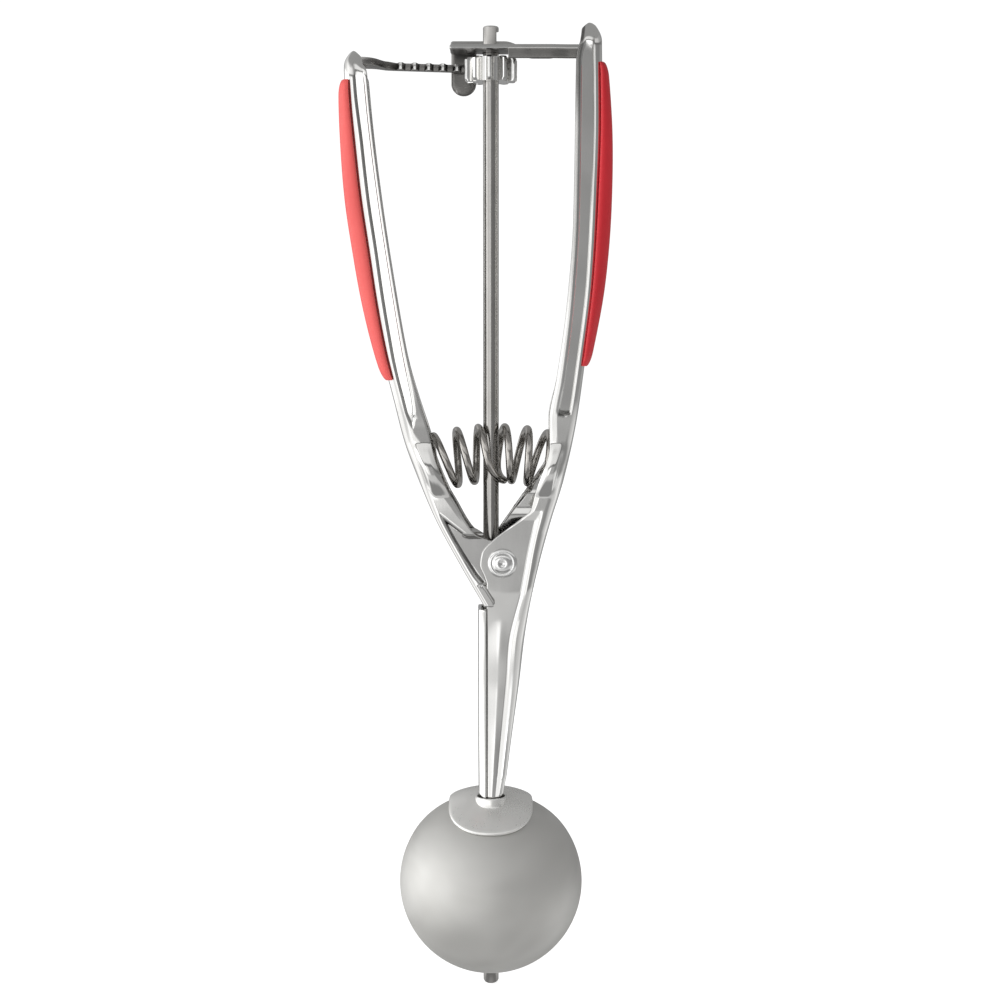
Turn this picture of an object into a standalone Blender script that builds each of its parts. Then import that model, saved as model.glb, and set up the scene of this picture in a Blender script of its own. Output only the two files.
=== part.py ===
# Spring-handled scoop: two pressed channel handles on a common pivot, a toothed
# rack on the squeezed handle, a pinion on a long rod, and a sweep blade inside a
# round bowl.  Everything below is in millimetres and is scaled to metres when a
# mesh is written.  +Z runs up the rod, -Y faces the viewer and the rod axis is x=0,
# y=0.  Heights are counted from a datum 0.965 above the tip of the lower pivot pin.
# PLACE moves the finished object so that this tip is at z=0 and the origin lies under
# the middle of the whole outline.
import bpy
import bmesh
import math
import numpy as np
from mathutils import Matrix, Vector

MM = 0.001
PLACE = Vector((3.34, -2.33, 0.965))

# ---------------------------------------------------------------- dimensions
SHEET_T, EAR_T = 0.85, 0.75   # pressed handle sheet, and where it is drawn thinner at the ears
ROD_R = 1.75
ROD_Z0, ROD_Z1 = 46.35, 220.0
ROD_SLOT_W, ROD_SLOT_TOP = 1.4, 49.6

PIVOT_X, PIVOT_Z = 2.55, 101.5
RIVET_R, RIVET_HEAD_R = 1.6, 3.3
RIVET_HOLE_R = 1.68
FIXED_EAR_OUT, LEVER_EAR_OUT = 5.5, 4.6

GEAR_TEETH, GEAR_PITCH_R, GEAR_OUT_R, GEAR_ROOT_R = 10, 5.0, 5.95, 3.85
GEAR_Z0, GEAR_Z1, GEAR_CHAMFER = 207.9, 213.1, 0.45
GEAR_FRONT_DEG = -93.0    # azimuth of the tooth that faces the viewer

RACK_PITCH = math.pi
RACK_Z_AT_ROD, RACK_SLOPE_DEG, RACK_T = 211.45, -1.8, 1.25
RACK_TIP_Y, RACK_ROOT_Y, RACK_BACK_Y = 4.1, 6.05, 7.45
RACK_FIRST_TOOTH_X, RACK_TOOTH_COUNT = -1.32, 7
RACK_END_X, RACK_LEFT_X = 2.9, -28.9

PLATE_T = 1.1
PLATE_Z = 214.2           # underside of the bracket's front part
PLATE_REAR_RISE = 2.1

SPRING_WIRE_R, SPRING_MEAN_R = 0.775, 5.95
SPRING_ARC_R, SPRING_ARC_X, SPRING_TOP_Z = 43.5, 1.2, 125.7
# turns counted from the first visible crest, against the place along the arch
COIL = [(-0.8, -14.8), (-0.35, -13.6), (0.0, -11.2), (1.0, -6.6), (2.0, -2.2), (3.0, 2.9), (4.0, 7.35), (5.0, 11.4),
        (5.4, 13.6), (5.8, 14.9)]

BOWL_TILT = math.radians(18.0)
BOWL_R, BOWL_WALL = 21.1, 0.9
BOWL_X, BOWL_Z = -0.1, 26.05
COLLAR_GAP, COLLAR_T = 0.2, 0.8
COLLAR_R = BOWL_R + COLLAR_GAP + COLLAR_T
BOWL_Y = COLLAR_R * math.sin(BOWL_TILT)
MOUTH_OFFSET = 6.0        # mouth plane behind the bowl centre, in the tilted frame
BOWL_TOP_HOLE_R, BOWL_PIN_HOLE_R = 2.35, 1.95
NECK_R, NECK_BORE_R, NECK_TOP_Z = 3.6, 3.1, 47.6

BLADE_OUT_R, BLADE_T = 19.85, 0.6
BLADE_REST_DEG = -8.5
PIN_R, PIN_TIP_S = 1.8, 27.9

# handle outlines, (z, x) of the outer web face and of the flange's free edge
FIXED_WEB = [(47.1, 2.8), (61.5, 4.65), (75.0, 6.45), (84.2, 7.5), (93.2, 8.95), (102.2, 11.0), (111.1, 13.45),
             (120.1, 16.2), (133.4, 19.0), (146.7, 20.8), (164.2, 22.9), (181.5, 23.9), (198.7, 24.4), (214.9, 24.2)]
FIXED_EDGE = [(96.7, -0.95), (98.6, -1.6), (101.0, -2.5), (103.7, -2.1), (106.1, -0.2), (111.3, 6.5), (113.3, 8.8),
              (117.8, 10.0), (127.9, 13.0), (133.6, 12.9), (142.3, 14.4), (159.8, 16.75), (177.2, 18.0), (211.1, 18.5)]
FIXED_H = [(47.1, 2.8), (60.0, 2.95), (72.0, 3.6), (80.0, 4.3), (89.0, 5.0), (96.0, 6.0), (112.0, 6.0),
           (128.0, 6.6), (138.0, 7.6), (150.0, 8.4), (165.0, 8.5), (215.0, 8.5), (219.6, 6.6)]
LEVER_WEB = [(92.0, -1.6), (102.3, -7.5), (111.3, -12.3), (120.2, -16.1), (129.0, -19.3), (137.9, -21.5),
             (148.9, -24.2), (159.8, -26.2), (170.7, -27.8), (181.5, -29.4), (192.3, -30.6), (203.0, -31.6), (209.8, -32.0)]
LEVER_EDGE = [(106.4, -0.2), (108.3, -3.7), (110.7, -5.5), (114.3, -7.5), (118.0, -9.6), (124.9, -12.4), (130.1, -13.6),
              (137.9, -15.9), (146.7, -18.1), (164.2, -21.2), (181.5, -23.8), (198.7, -25.9), (208.5, -26.8)]
LEVER_H = [(92.0, 6.4), (108.0, 6.4), (128.0, 6.7), (138.0, 7.6), (150.0, 8.4), (165.0, 8.5), (208.0, 8.5), (213.6, 6.6)]


def smooth(a, b, v):
    t = min(1.0, max(0.0, (v - a) / (b - a)))
    return t * t * (3.0 - 2.0 * t)


def curve(table, v):
    """Smooth monotone reading of a (position, value) table."""
    xs = [p[0] for p in table]
    ys = [p[1] for p in table]
    n = len(xs)
    if v <= xs[0]:
        return ys[0] + (v - xs[0]) * (ys[1] - ys[0]) / (xs[1] - xs[0])
    if v >= xs[-1]:
        return ys[-1] + (v - xs[-1]) * (ys[-1] - ys[-2]) / (xs[-1] - xs[-2])
    d = [(ys[i + 1] - ys[i]) / (xs[i + 1] - xs[i]) for i in range(n - 1)]
    m = [d[0]] + [0.0 if d[i - 1] * d[i] <= 0 else 2.0 * d[i - 1] * d[i] / (d[i - 1] + d[i]) for i in range(1, n - 1)] + [d[-1]]
    i = max(k for k in range(n - 1) if xs[k] <= v)
    h = xs[i + 1] - xs[i]
    t = (v - xs[i]) / h
    return ((2 * t ** 3 - 3 * t ** 2 + 1) * ys[i] + (t ** 3 - 2 * t ** 2 + t) * h * m[i]
            + (3 * t ** 2 - 2 * t ** 3) * ys[i + 1] + (t ** 3 - t ** 2) * h * m[i + 1])


# ---------------------------------------------------------------- materials
def material(name, colour, metallic, roughness):
    mat = bpy.data.materials.new(name)
    mat.use_nodes = True
    b = mat.node_tree.nodes["Principled BSDF"]
    b.inputs["Base Color"].default_value = (colour[0], colour[1], colour[2], 1.0)
    b.inputs["Metallic"].default_value = metallic
    b.inputs["Roughness"].default_value = roughness
    return mat


# ---------------------------------------------------------------- mesh helpers
def finish(name, bm, mat, origin=(0.0, 0.0, 0.0), weld=1e-4):
    bmesh.ops.remove_doubles(bm, verts=bm.verts, dist=weld)
    bmesh.ops.dissolve_degenerate(bm, edges=bm.edges, dist=1e-5)
    bmesh.ops.recalc_face_normals(bm, faces=bm.faces)
    if bm.calc_volume(signed=True) < 0:
        bmesh.ops.reverse_faces(bm, faces=bm.faces)
    o = Vector(origin) + PLACE
    for v in bm.verts:
        v.co = (v.co + PLACE - o) * MM
    mesh = bpy.data.meshes.new(name)
    bm.to_mesh(mesh)
    bm.free()
    mesh.materials.append(mat)
    ob = bpy.data.objects.new(name, mesh)
    bpy.context.scene.collection.objects.link(ob)
    ob.location = o * MM
    mesh.shade_smooth()
    mesh.set_sharp_from_angle(angle=math.radians(35.0))
    return ob


def boolean(ob, cutter, operation):
    mod = ob.modifiers.new("cut", "BOOLEAN")
    mod.operation = operation
    mod.solver = "EXACT"
    mod.object = cutter
    dg = bpy.context.evaluated_depsgraph_get()
    new = bpy.data.meshes.new_from_object(ob.evaluated_get(dg))
    ob.modifiers.remove(mod)
    old = ob.data
    ob.data = new
    new.name = old.name
    bpy.data.meshes.remove(old)
    bpy.data.objects.remove(cutter)
    bm = bmesh.new()
    bm.from_mesh(ob.data)
    bmesh.ops.remove_doubles(bm, verts=bm.verts, dist=2e-6)
    bmesh.ops.dissolve_degenerate(bm, edges=bm.edges, dist=1e-7)
    bm.to_mesh(ob.data)
    bm.free()
    ob.data.shade_smooth()
    ob.data.set_sharp_from_angle(angle=math.radians(35.0))


def thick_sheet(name, P, T, present, mat, origin=(0, 0, 0)):
    """A pressed sheet: P[j][i] is its middle surface, T[j][i] its thickness and
    present[j][i] tells which cells of the grid are metal."""
    P = np.array(P, float)
    T = np.array(T, float)
    nj, ni = P.shape[0], P.shape[1]
    di = np.gradient(P, axis=1)
    dj = np.gradient(P, axis=0)
    N = np.cross(di, dj)
    N /= np.maximum(np.linalg.norm(N, axis=2, keepdims=True), 1e-9)
    A = P + N * (T / 2.0)[:, :, None]
    B = P - N * (T / 2.0)[:, :, None]
    bm = bmesh.new()
    va, vb = {}, {}

    def a(j, i):
        if (j, i) not in va:
            va[(j, i)] = bm.verts.new(A[j, i])
            vb[(j, i)] = bm.verts.new(B[j, i])
        return va[(j, i)]

    def b(j, i):
        a(j, i)
        return vb[(j, i)]

    def cell(j, i):
        return 0 <= j < nj - 1 and 0 <= i < ni - 1 and present[j][i]

    for j in range(nj - 1):
        for i in range(ni - 1):
            if not cell(j, i):
                continue
            bm.faces.new((a(j, i), a(j, i + 1), a(j + 1, i + 1), a(j + 1, i)))
            bm.faces.new((b(j, i), b(j + 1, i), b(j + 1, i + 1), b(j, i + 1)))
            if not cell(j - 1, i):
                bm.faces.new((a(j, i + 1), a(j, i), b(j, i), b(j, i + 1)))
            if not cell(j + 1, i):
                bm.faces.new((a(j + 1, i), a(j + 1, i + 1), b(j + 1, i + 1), b(j + 1, i)))
            if not cell(j, i - 1):
                bm.faces.new((a(j, i), a(j + 1, i), b(j + 1, i), b(j, i)))
            if not cell(j, i + 1):
                bm.faces.new((a(j + 1, i + 1), a(j, i + 1), b(j, i + 1), b(j + 1, i + 1)))
    return finish(name, bm, mat, origin)


def turned(name, profile, mat, segments=32, frame=None, origin=(0, 0, 0)):
    """A solid of revolution: profile is a closed loop of (radius, height)."""
    bm = bmesh.new()
    rings = []
    for r, h in profile:
        if r < 1e-6:
            rings.append([bm.verts.new((0, 0, h))])
        else:
            rings.append([bm.verts.new((r * math.cos(2 * math.pi * k / segments), r * math.sin(2 * math.pi * k / segments), h))
                          for k in range(segments)])
    n = len(rings)
    for q in range(n):
        r0, r1 = rings[q], rings[(q + 1) % n]
        for k in range(segments):
            k1 = (k + 1) % segments
            if len(r0) == 1 and len(r1) == 1:
                continue
            if len(r0) == 1:
                bm.faces.new((r0[0], r1[k1], r1[k]))
            elif len(r1) == 1:
                bm.faces.new((r0[k], r0[k1], r1[0]))
            else:
                bm.faces.new((r0[k], r0[k1], r1[k1], r1[k]))
    if frame is not None:
        bmesh.ops.transform(bm, matrix=frame, verts=bm.verts)
    return finish(name, bm, mat, origin)


def prism(name, outline, z0, z1, mat, frame=None, origin=(0, 0, 0), chamfer=0.0, centre=(0.0, 0.0)):
    """An upright prism over an outline; chamfer pulls the end loops towards the centre."""
    levels = [(z0, 1.0), (z1, 1.0)]
    if chamfer > 0:
        rmax = max(math.hypot(x - centre[0], y - centre[1]) for x, y in outline)
        k = (rmax - chamfer) / rmax
        levels = [(z0, k), (z0 + chamfer, 1.0), (z1 - chamfer, 1.0), (z1, k)]
    bm = bmesh.new()
    loops = []
    for z, k in levels:
        loops.append([bm.verts.new((centre[0] + (x - centre[0]) * k, centre[1] + (y - centre[1]) * k, z)) for x, y in outline])
    n = len(outline)
    for lo, hi in zip(loops[:-1], loops[1:]):
        for k in range(n):
            bm.faces.new((lo[k], lo[(k + 1) % n], hi[(k + 1) % n], hi[k]))
    bm.faces.new(list(reversed(loops[0])))
    bm.faces.new(loops[-1])
    if frame is not None:
        bmesh.ops.transform(bm, matrix=frame, verts=bm.verts)
    return finish(name, bm, mat, origin)


def box(name, lo, hi, mat, frame=None):
    return prism(name, [(lo[0], lo[1]), (hi[0], lo[1]), (hi[0], hi[1]), (lo[0], hi[1])], lo[2], hi[2], mat, frame)


def across_y(x, z):
    """Frame whose local +Z runs along +Y through (x, z)."""
    return Matrix.Translation((x, 0, z)) @ Matrix.Rotation(math.radians(-90), 4, "X")


def bowl_frame():
    """Frame at the bowl centre; local +Z is the blade's turning axis."""
    return Matrix.Translation((BOWL_X, BOWL_Y, BOWL_Z)) @ Matrix.Rotation(BOWL_TILT, 4, "X")


# ---------------------------------------------------------------- handles
SEAT_Z, SEAT_R = 123.6, 8.25


N_PANEL, N_CORNER, N_WEB = 5, 3, 3


def section(side, xw, xe, h, t, rc, bead, ramp, drop, seat, xr):
    """Middle line of a channel section at one height, front edge to rear edge; xe and xr are the
    free edges of the front and of the rear flange."""
    rc = max(t + 0.1, min(rc, 0.7 * max(1.35, abs(xw - xe))))
    bead = max(bead, rc + 0.25)
    hh = max(h, seat)

    def flange(edge):
        width = max(1.35, abs(xw - edge), rc + 0.3)
        us = [width + (rc - width) * k / N_PANEL for k in range(N_PANEL)]
        if width > bead + ramp + 0.8:
            us = [width, bead + ramp, bead + 0.67 * ramp, bead + 0.33 * ramp, bead]
        return [(u, -(hh - t / 2 - smooth(bead, bead + ramp, u) * drop)) for u in us]

    corner = []
    for k in range(N_CORNER + 1):
        a = math.pi / 2 * k / N_CORNER
        corner.append((rc - (rc - t / 2) * math.sin(a), -(hh - rc) - (rc - t / 2) * math.cos(a)))
    web = [(t / 2, -(hh - rc) * (1 - 2.0 * k / N_WEB)) for k in range(1, N_WEB)]
    full = flange(xe) + corner + web + [(u, -y) for u, y in reversed(flange(xr) + corner)]
    return [(xw - side * u, y) for u, y in full]


def rear_set_back(z):
    """The rear flange is narrower than the front one above the spring."""
    return 0.65 * smooth(128.0, 150.0, z)


def seat_depth(z):
    return math.sqrt(max(0.0, SEAT_R ** 2 - (z - SEAT_Z) ** 2))


def fixed_handle(mat):
    rows = [47.1, 48.2, 50.0, 54, 62, 72, 81, 89.6, 93, 96.7, 98.6, 101, 103.7, 105.2, 106.1, 108.6, 111.3, 113.3,
            116, 119, 121.2, 123.6, 126, 128.3, 132, 138, 147, 160, 178, 198, 211, 215.6, 217.9, 219.3]
    P, T, keep = [], [], []
    for z in rows:
        xw = curve(FIXED_WEB, z) if z <= 214.9 else 24.2 - 1.65 * (max(0.0, z - 215.9) / 3.4) ** 2.5
        if z < 94:
            xe = -0.95
        elif z < 96.7:
            xe = -0.95 + (-1.1 + 0.95) * (z - 94) / 2.7
        elif z <= 211.1:
            xe = curve(FIXED_EDGE, z)
        else:
            xe = 18.5 + 1.35 * smooth(211.1, 219.4, z)
        h = curve(FIXED_H, z)
        t = SHEET_T - (SHEET_T - EAR_T) * (1 - smooth(108, 122, z))
        rc = 2.45 + 0.95 * smooth(50, 80, z) - 1.2 * smooth(88, 110, z)
        drop = 0.5 * smooth(84, 94, z)
        ramp = 2.0 + 1.2 * smooth(108, 122, z)
        xr = xe + rear_set_back(z)
        if 105.8 < z < 126:
            # the rear ear runs up in a straight slant
            xr = min(xe, -0.26 + 0.71 * (z - 105.8))
        pts = section(1, xw, xe, h, t, rc, 2.3, ramp, drop, seat_depth(z), xr)
        xl = -2.88 - 0.05 * smooth(50, 60, z)
        rl = min(2.45 - 0.3 * smooth(52, 70, z), h - 0.3)
        if z <= 94:
            # the rear flange of the tube runs on to the left corner
            xc = pts[-N_PANEL - 1][0]
            for k in range(N_PANEL):
                pts[len(pts) - N_PANEL + k] = (xc + (xl + rl + 0.3 - xc) * (k + 1) / N_PANEL, pts[len(pts) - N_PANEL + k][1])
        rear_x, rear_y = pts[-1]
        yr = abs(rear_y) + t / 2
        extra = [(xl + rl, rear_y)]
        for k in range(1, 4):
            a = math.pi / 2 * k / 3
            extra.append((xl + rl - (rl - t / 2) * math.sin(a), (yr - rl) + (rl - t / 2) * math.cos(a)))
        extra.append((xl + t / 2, 0.0))
        last = math.acos((xl + rl + 1.27) / (rl - t / 2))
        for k in range(5):
            a = last * k / 4
            extra.append((xl + rl - (rl - t / 2) * math.cos(a), -(yr - rl) - (rl - t / 2) * math.sin(a)))
        if z > 94:
            extra = [(rear_x - 0.4 * (k + 1), rear_y) for k in range(len(extra))]
        row = pts + extra
        fade = 1 - smooth(47.1, 53, z)
        P.append([(x, y, z + 1.9 * fade * (abs(x + 0.05) / 2.8) ** 3) for x, y in row])
        T.append([t] * len(row))
        keep.append([True] * (len(pts) - 1) + [z < 89.0] * len(extra))
    ob = thick_sheet("fixed_handle", P, T, keep, mat)
    for sgn in (-1, 1):
        boolean(ob, turned("c", [(0, 3.2), (RIVET_HOLE_R, 3.2), (RIVET_HOLE_R, 7.5), (0, 7.5)], mat, 24,
                           across_y(PIVOT_X, PIVOT_Z) @ (Matrix.Identity(4) if sgn > 0 else Matrix.Rotation(math.pi, 4, "X"))), "DIFFERENCE")
    return ob


def lever_edge(z):
    """Free edge of the squeezed handle: strip at the tip, round ear at the pivot, lip above."""
    if z <= 106.3:
        return PIVOT_X + math.sqrt(max(0.0, 5.2 ** 2 - (z - PIVOT_Z) ** 2))
    return curve(LEVER_EDGE, z)


def squeeze_lever(mat):
    rows = [92.0, 92.6, 94.2, 96.4, 97.2, 98.6, 101.5, 104.4, 105.7, 106.25, 106.5, 108.3, 110.7,
            114.3, 117, 119, 121.2, 123.6, 126, 128.3, 132, 138, 147, 160, 178, 196, 207, 210.4, 212.2, 213.3]
    P, T, keep = [], [], []
    for z in rows:
        xw = curve(LEVER_WEB, z) if z <= 209.8 else -32.0 + 1.9 * (max(0.0, z - 210.4) / 2.9) ** 3
        xe = lever_edge(z) if z <= 208.5 else -26.8 - 1.4 * smooth(208.5, 213.4, z)
        h = curve(LEVER_H, z)
        drop = 1.8 - 1.3 * smooth(108.0, 119.0, z)
        t = SHEET_T - (SHEET_T - EAR_T) * (1 - smooth(108, 122, z))
        rc = 1.0 + 1.1 * smooth(100.0, 112.0, z)
        bead = 1.7 + 0.7 * smooth(100.0, 110.0, z)
        ramp = 1.5 + 0.4 * smooth(98.0, 104.0, z) + 1.3 * smooth(108.0, 119.0, z)
        pts = section(-1, xw, xe, h, t, rc, bead, ramp, drop, seat_depth(z), xe - rear_set_back(z))
        P.append([(x, y, z) for x, y in pts])
        T.append([t] * len(pts))
        # below the ear only the rolled front and rear strips go on
        first, last = N_PANEL + N_CORNER, N_PANEL + N_CORNER + N_WEB
        n = len(pts) - 1
        low = z < 96.3
        keep.append([not (low and (i < N_PANEL - 1 or i > n - N_PANEL or first <= i < last)) for i in range(n)])
    ob = thick_sheet("squeeze_lever", P, T, keep, mat, origin=(PIVOT_X, 0, PIVOT_Z))
    for sgn in (-1, 1):
        boolean(ob, turned("c", [(0, 2.4), (RIVET_HOLE_R, 2.4), (RIVET_HOLE_R, 5.6), (0, 5.6)], mat, 24,
                           across_y(PIVOT_X, PIVOT_Z) @ (Matrix.Identity(4) if sgn > 0 else Matrix.Rotation(math.pi, 4, "X"))), "DIFFERENCE")
    return ob


def grip(name, side, web, htab, z0, z1, mat, origin):
    """Soft cover lapped over the outside of a handle."""
    gap, n_corner, n_web = 0.3, 4, 4
    rows = [z0 + (z1 - z0) * k / 12 for k in range(13)]
    P, T = [], []
    for z in rows:
        f = (z - z0) / (z1 - z0)
        thick = 0.95 + 1.4 * max(0.0, math.sin(math.pi * min(1, max(0, f)))) ** 0.9
        end = min(smooth(-0.02, 0.07, f), smooth(-0.02, 0.07, 1 - f))
        thick = 0.55 + (thick - 0.55) * end
        lap = 1.1 * (0.5 + 0.5 * end)
        xw, h = curve(web, z), curve(htab, z)
        rc = 2.1
        # the lap ends on the rounded corner, just inside the front face
        pts, th = [], []
        for k in range(n_corner + 1):
            a = math.radians(23.0) + math.radians(67.0) * k / n_corner
            w = smooth(0, 1, k / n_corner)
            tt = lap + (thick - lap) * w
            pts.append((rc - (rc + gap + tt / 2) * math.sin(a), -(h - rc) - (rc + gap + tt / 2) * math.cos(a)))
            th.append(tt)
        n0 = len(pts)
        for k in range(1, n_web):
            pts.append((-(gap + thick / 2), -(h - rc) * (1 - 2.0 * k / n_web)))
            th.append(thick)
        pts += [(u, -y) for u, y in reversed(pts[:n0])]
        th += list(reversed(th[:n0]))
        P.append([(xw - side * u, y, z) for u, y in pts])
        T.append(th)
    keep = [[True] * (len(P[0]) - 1) for _ in rows]
    return thick_sheet(name, P, T, keep, mat, origin)


# ---------------------------------------------------------------- drive parts
def rivet(name, sgn, mat):
    y1 = FIXED_EAR_OUT + 0.08
    y0 = LEVER_EAR_OUT - EAR_T - 0.15
    prof = [(0, y0 - 0.75), (2.1, y0 - 0.75), (2.4, y0 - 0.5), (2.4, y0), (RIVET_R, y0), (RIVET_R, y1), (RIVET_HEAD_R, y1),
            (RIVET_HEAD_R, y1 + 0.3), (2.9, y1 + 0.72), (2.1, y1 + 0.98), (1.1, y1 + 1.1), (0, y1 + 1.12)]
    fr = across_y(PIVOT_X, PIVOT_Z)
    if sgn < 0:
        fr = fr @ Matrix.Rotation(math.pi, 4, "X")
    return turned(name, prof, mat, 24, fr, (PIVOT_X, 0, PIVOT_Z))


def drive_rod(mat):
    z0, z1 = ROD_Z0, ROD_Z1
    ob = turned("drive_rod", [(0, z0), (ROD_R - 0.2, z0), (ROD_R, z0 + 0.2), (ROD_R, z1 - 0.35), (ROD_R - 0.35, z1), (0, z1)], mat, 32)
    slot = box("c", (-3, -ROD_SLOT_W / 2, z0 - 1), (3, ROD_SLOT_W / 2, ROD_SLOT_TOP), mat,
               Matrix.Rotation(math.radians(BLADE_REST_DEG), 4, "Z"))
    boolean(ob, slot, "DIFFERENCE")
    flat = box("c", (1.25, -3, 216.6), (3, 3, 218.9), mat)
    boolean(ob, flat, "DIFFERENCE")
    return ob


def pinion_gear(mat):
    outline = []
    step = 360.0 / GEAR_TEETH
    for k in range(GEAR_TEETH):
        c = GEAR_FRONT_DEG + k * step
        for da, r in ((-11.5, GEAR_ROOT_R), (-7.2, GEAR_PITCH_R - 0.35), (-4.6, GEAR_OUT_R - 0.35), (-2.9, GEAR_OUT_R),
                      (2.9, GEAR_OUT_R), (4.6, GEAR_OUT_R - 0.35), (7.2, GEAR_PITCH_R - 0.35), (11.5, GEAR_ROOT_R)):
            a = math.radians(c + da)
            outline.append((r * math.cos(a), r * math.sin(a)))
    ob = prism("pinion_gear", outline, GEAR_Z0, GEAR_Z1, mat, chamfer=GEAR_CHAMFER)
    boolean(ob, turned("c", [(0, GEAR_Z0 - 2), (ROD_R + 0.1, GEAR_Z0 - 2), (ROD_R + 0.1, GEAR_Z1 + 2), (0, GEAR_Z1 + 2)], mat, 32), "DIFFERENCE")
    return ob


def rack_z(x):
    return RACK_Z_AT_ROD + x * math.tan(math.radians(RACK_SLOPE_DEG))


def toothed_rack(mat):
    """Flat toothed strip behind the pinion, broadening into a foot inside the squeezed handle."""
    outline = [(RACK_LEFT_X, 5.4), (RACK_LEFT_X, -2.2), (-27.6, -2.2), (-25.8, -1.2), (-24.6, 1.4), (-23.4, RACK_TIP_Y)]
    for k in range(RACK_TOOTH_COUNT - 1, -2, -1):
        c = RACK_FIRST_TOOTH_X - RACK_PITCH * k
        for dx, y in ((-0.95, RACK_ROOT_Y), (-0.38, RACK_TIP_Y), (0.38, RACK_TIP_Y), (0.95, RACK_ROOT_Y)):
            if c + dx < RACK_END_X - 0.05:
                outline.append((c + dx, y))
    outline += [(RACK_END_X, RACK_ROOT_Y), (RACK_END_X, RACK_BACK_Y), (-23.0, RACK_BACK_Y), (-25.5, 5.4)]
    fr = Matrix.Translation((0, 0, RACK_Z_AT_ROD)) @ Matrix.Rotation(math.radians(-RACK_SLOPE_DEG), 4, "Y")
    return prism("toothed_rack", outline, -RACK_T / 2, RACK_T / 2, mat, fr, (PIVOT_X, 0, PIVOT_Z))


def gear_bracket(mat):
    """Strap that carries the top of the rod: front part, raised rear part over the rack,
    hanging front flange and rear guide tab."""
    t = PLATE_T
    z = PLATE_Z
    xs = [-8.95, -8.3, -6.4, -4.2, -3.3, -0.5, 3.7, 6.5, 9.5, 14.0, 17.2, 21.8]
    P = []
    for x in xs:
        zr = z + PLATE_REAR_RISE * (1 - smooth(3.0, 9.5, x))
        k = 1 - 0.30 * smooth(13.0, 17.2, x)
        f = 0.35 * smooth(13.0, 17.2, x)
        path = [(-6.65 + f, z - 2.0), (-6.65 + f, z + 0.1), (-6.2 + f, z + t / 2), (-4.5, z + t / 2), (2.0, z + t / 2), (2.7, z + t / 2 + 0.14 * (zr - z)),
                (3.3, zr + t / 2 - 0.14 * (zr - z)), (4.0, zr + t / 2), (7.9 * k, zr + t / 2), (8.6 * k, zr + 0.1), (8.8 * k, zr - 0.7),
                (8.8, zr - 4.0), (8.8, zr - 8.0), (8.8, 205.9)]
        if x <= -3.3:
            # the guide tab ends in a round lobe
            s = abs(x + 6.15) / 2.9
            path[-1] = (8.8, 205.9 + 2.9 * (1 - math.sqrt(max(0.0, 1 - min(1.0, s) ** 2))))
        P.append([(x, y, zz) for y, zz in path])
    T = [[t] * len(path) for _ in xs]
    keep = []
    for j in range(len(xs) - 1):
        row = []
        for i in range(len(path) - 1):
            metal = True
            if i < 2 and xs[j] < 3.6:
                metal = False
            if i >= 10 and xs[j] >= -3.4:
                metal = False
            row.append(metal)
        keep.append(row)
    keep.append([True] * (len(path) - 1))
    ob = thick_sheet("gear_bracket", P, T, keep, mat)
    boolean(ob, turned("c", [(0, z - 2), (ROD_R + 0.25, z - 2), (ROD_R + 0.25, z + 3), (0, z + 3)], mat, 32), "DIFFERENCE")
    return ob


def return_spring(mat):
    """Coil between the two handles, on a gently arched centre line; its strands part around the rod."""
    t0, t1 = COIL[0][0], COIL[-1][0]
    n = int((t1 - t0) * 18)
    centre = []
    for k in range(n + 1):
        turn = t0 + (t1 - t0) * k / n
        a = math.asin((curve(COIL, turn) - SPRING_ARC_X) / SPRING_ARC_R)
        th = 2 * math.pi * turn
        cx = SPRING_ARC_X + SPRING_ARC_R * math.sin(a)
        cz = SPRING_TOP_Z - SPRING_ARC_R * (1 - math.cos(a))
        rad = SPRING_MEAN_R * math.cos(th)
        x = cx + rad * math.sin(a)
        y = -SPRING_MEAN_R * math.sin(th)
        zz = cz + rad * math.cos(a)
        clear = ROD_R + SPRING_WIRE_R + 0.33
        if abs(y) < 4.8:
            need = clear * math.cos(math.pi / 2 * min(1.0, abs(y) / 4.8)) ** 0.6
            sg = 1.0 if x > -0.6 else -1.0
            if abs(x) < need + 0.6:
                x = sg * max(abs(x) if x * sg > 0 else 0.0, need)
        centre.append(Vector((x, y, zz)))
    for _ in range(3):
        new = [centre[0]] + [(centre[k - 1] + 2 * centre[k] + centre[k + 1]) / 4 for k in range(1, n)] + [centre[-1]]
        for k in range(n + 1):
            d = math.hypot(new[k].x, new[k].y)
            lim = ROD_R + SPRING_WIRE_R + 0.3
            if d < lim:
                new[k].x *= lim / d
                new[k].y *= lim / d
        centre = new
    bm = bmesh.new()
    sides = 6
    rings = []
    up = Vector((1, 0, 0))
    for k in range(n + 1):
        tan = (centre[min(n, k + 1)] - centre[max(0, k - 1)]).normalized()
        u = (up - tan * up.dot(tan)).normalized()
        v = tan.cross(u)
        rings.append([bm.verts.new(centre[k] + SPRING_WIRE_R * (math.cos(2 * math.pi * s / sides) * u + math.sin(2 * math.pi * s / sides) * v))
                      for s in range(sides)])
    for r0, r1 in zip(rings[:-1], rings[1:]):
        for s in range(sides):
            bm.faces.new((r0[s], r0[(s + 1) % sides], r1[(s + 1) % sides], r1[s]))
    bm.faces.new(list(reversed(rings[0])))
    bm.faces.new(rings[-1])
    return finish("return_spring", bm, mat)


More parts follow.
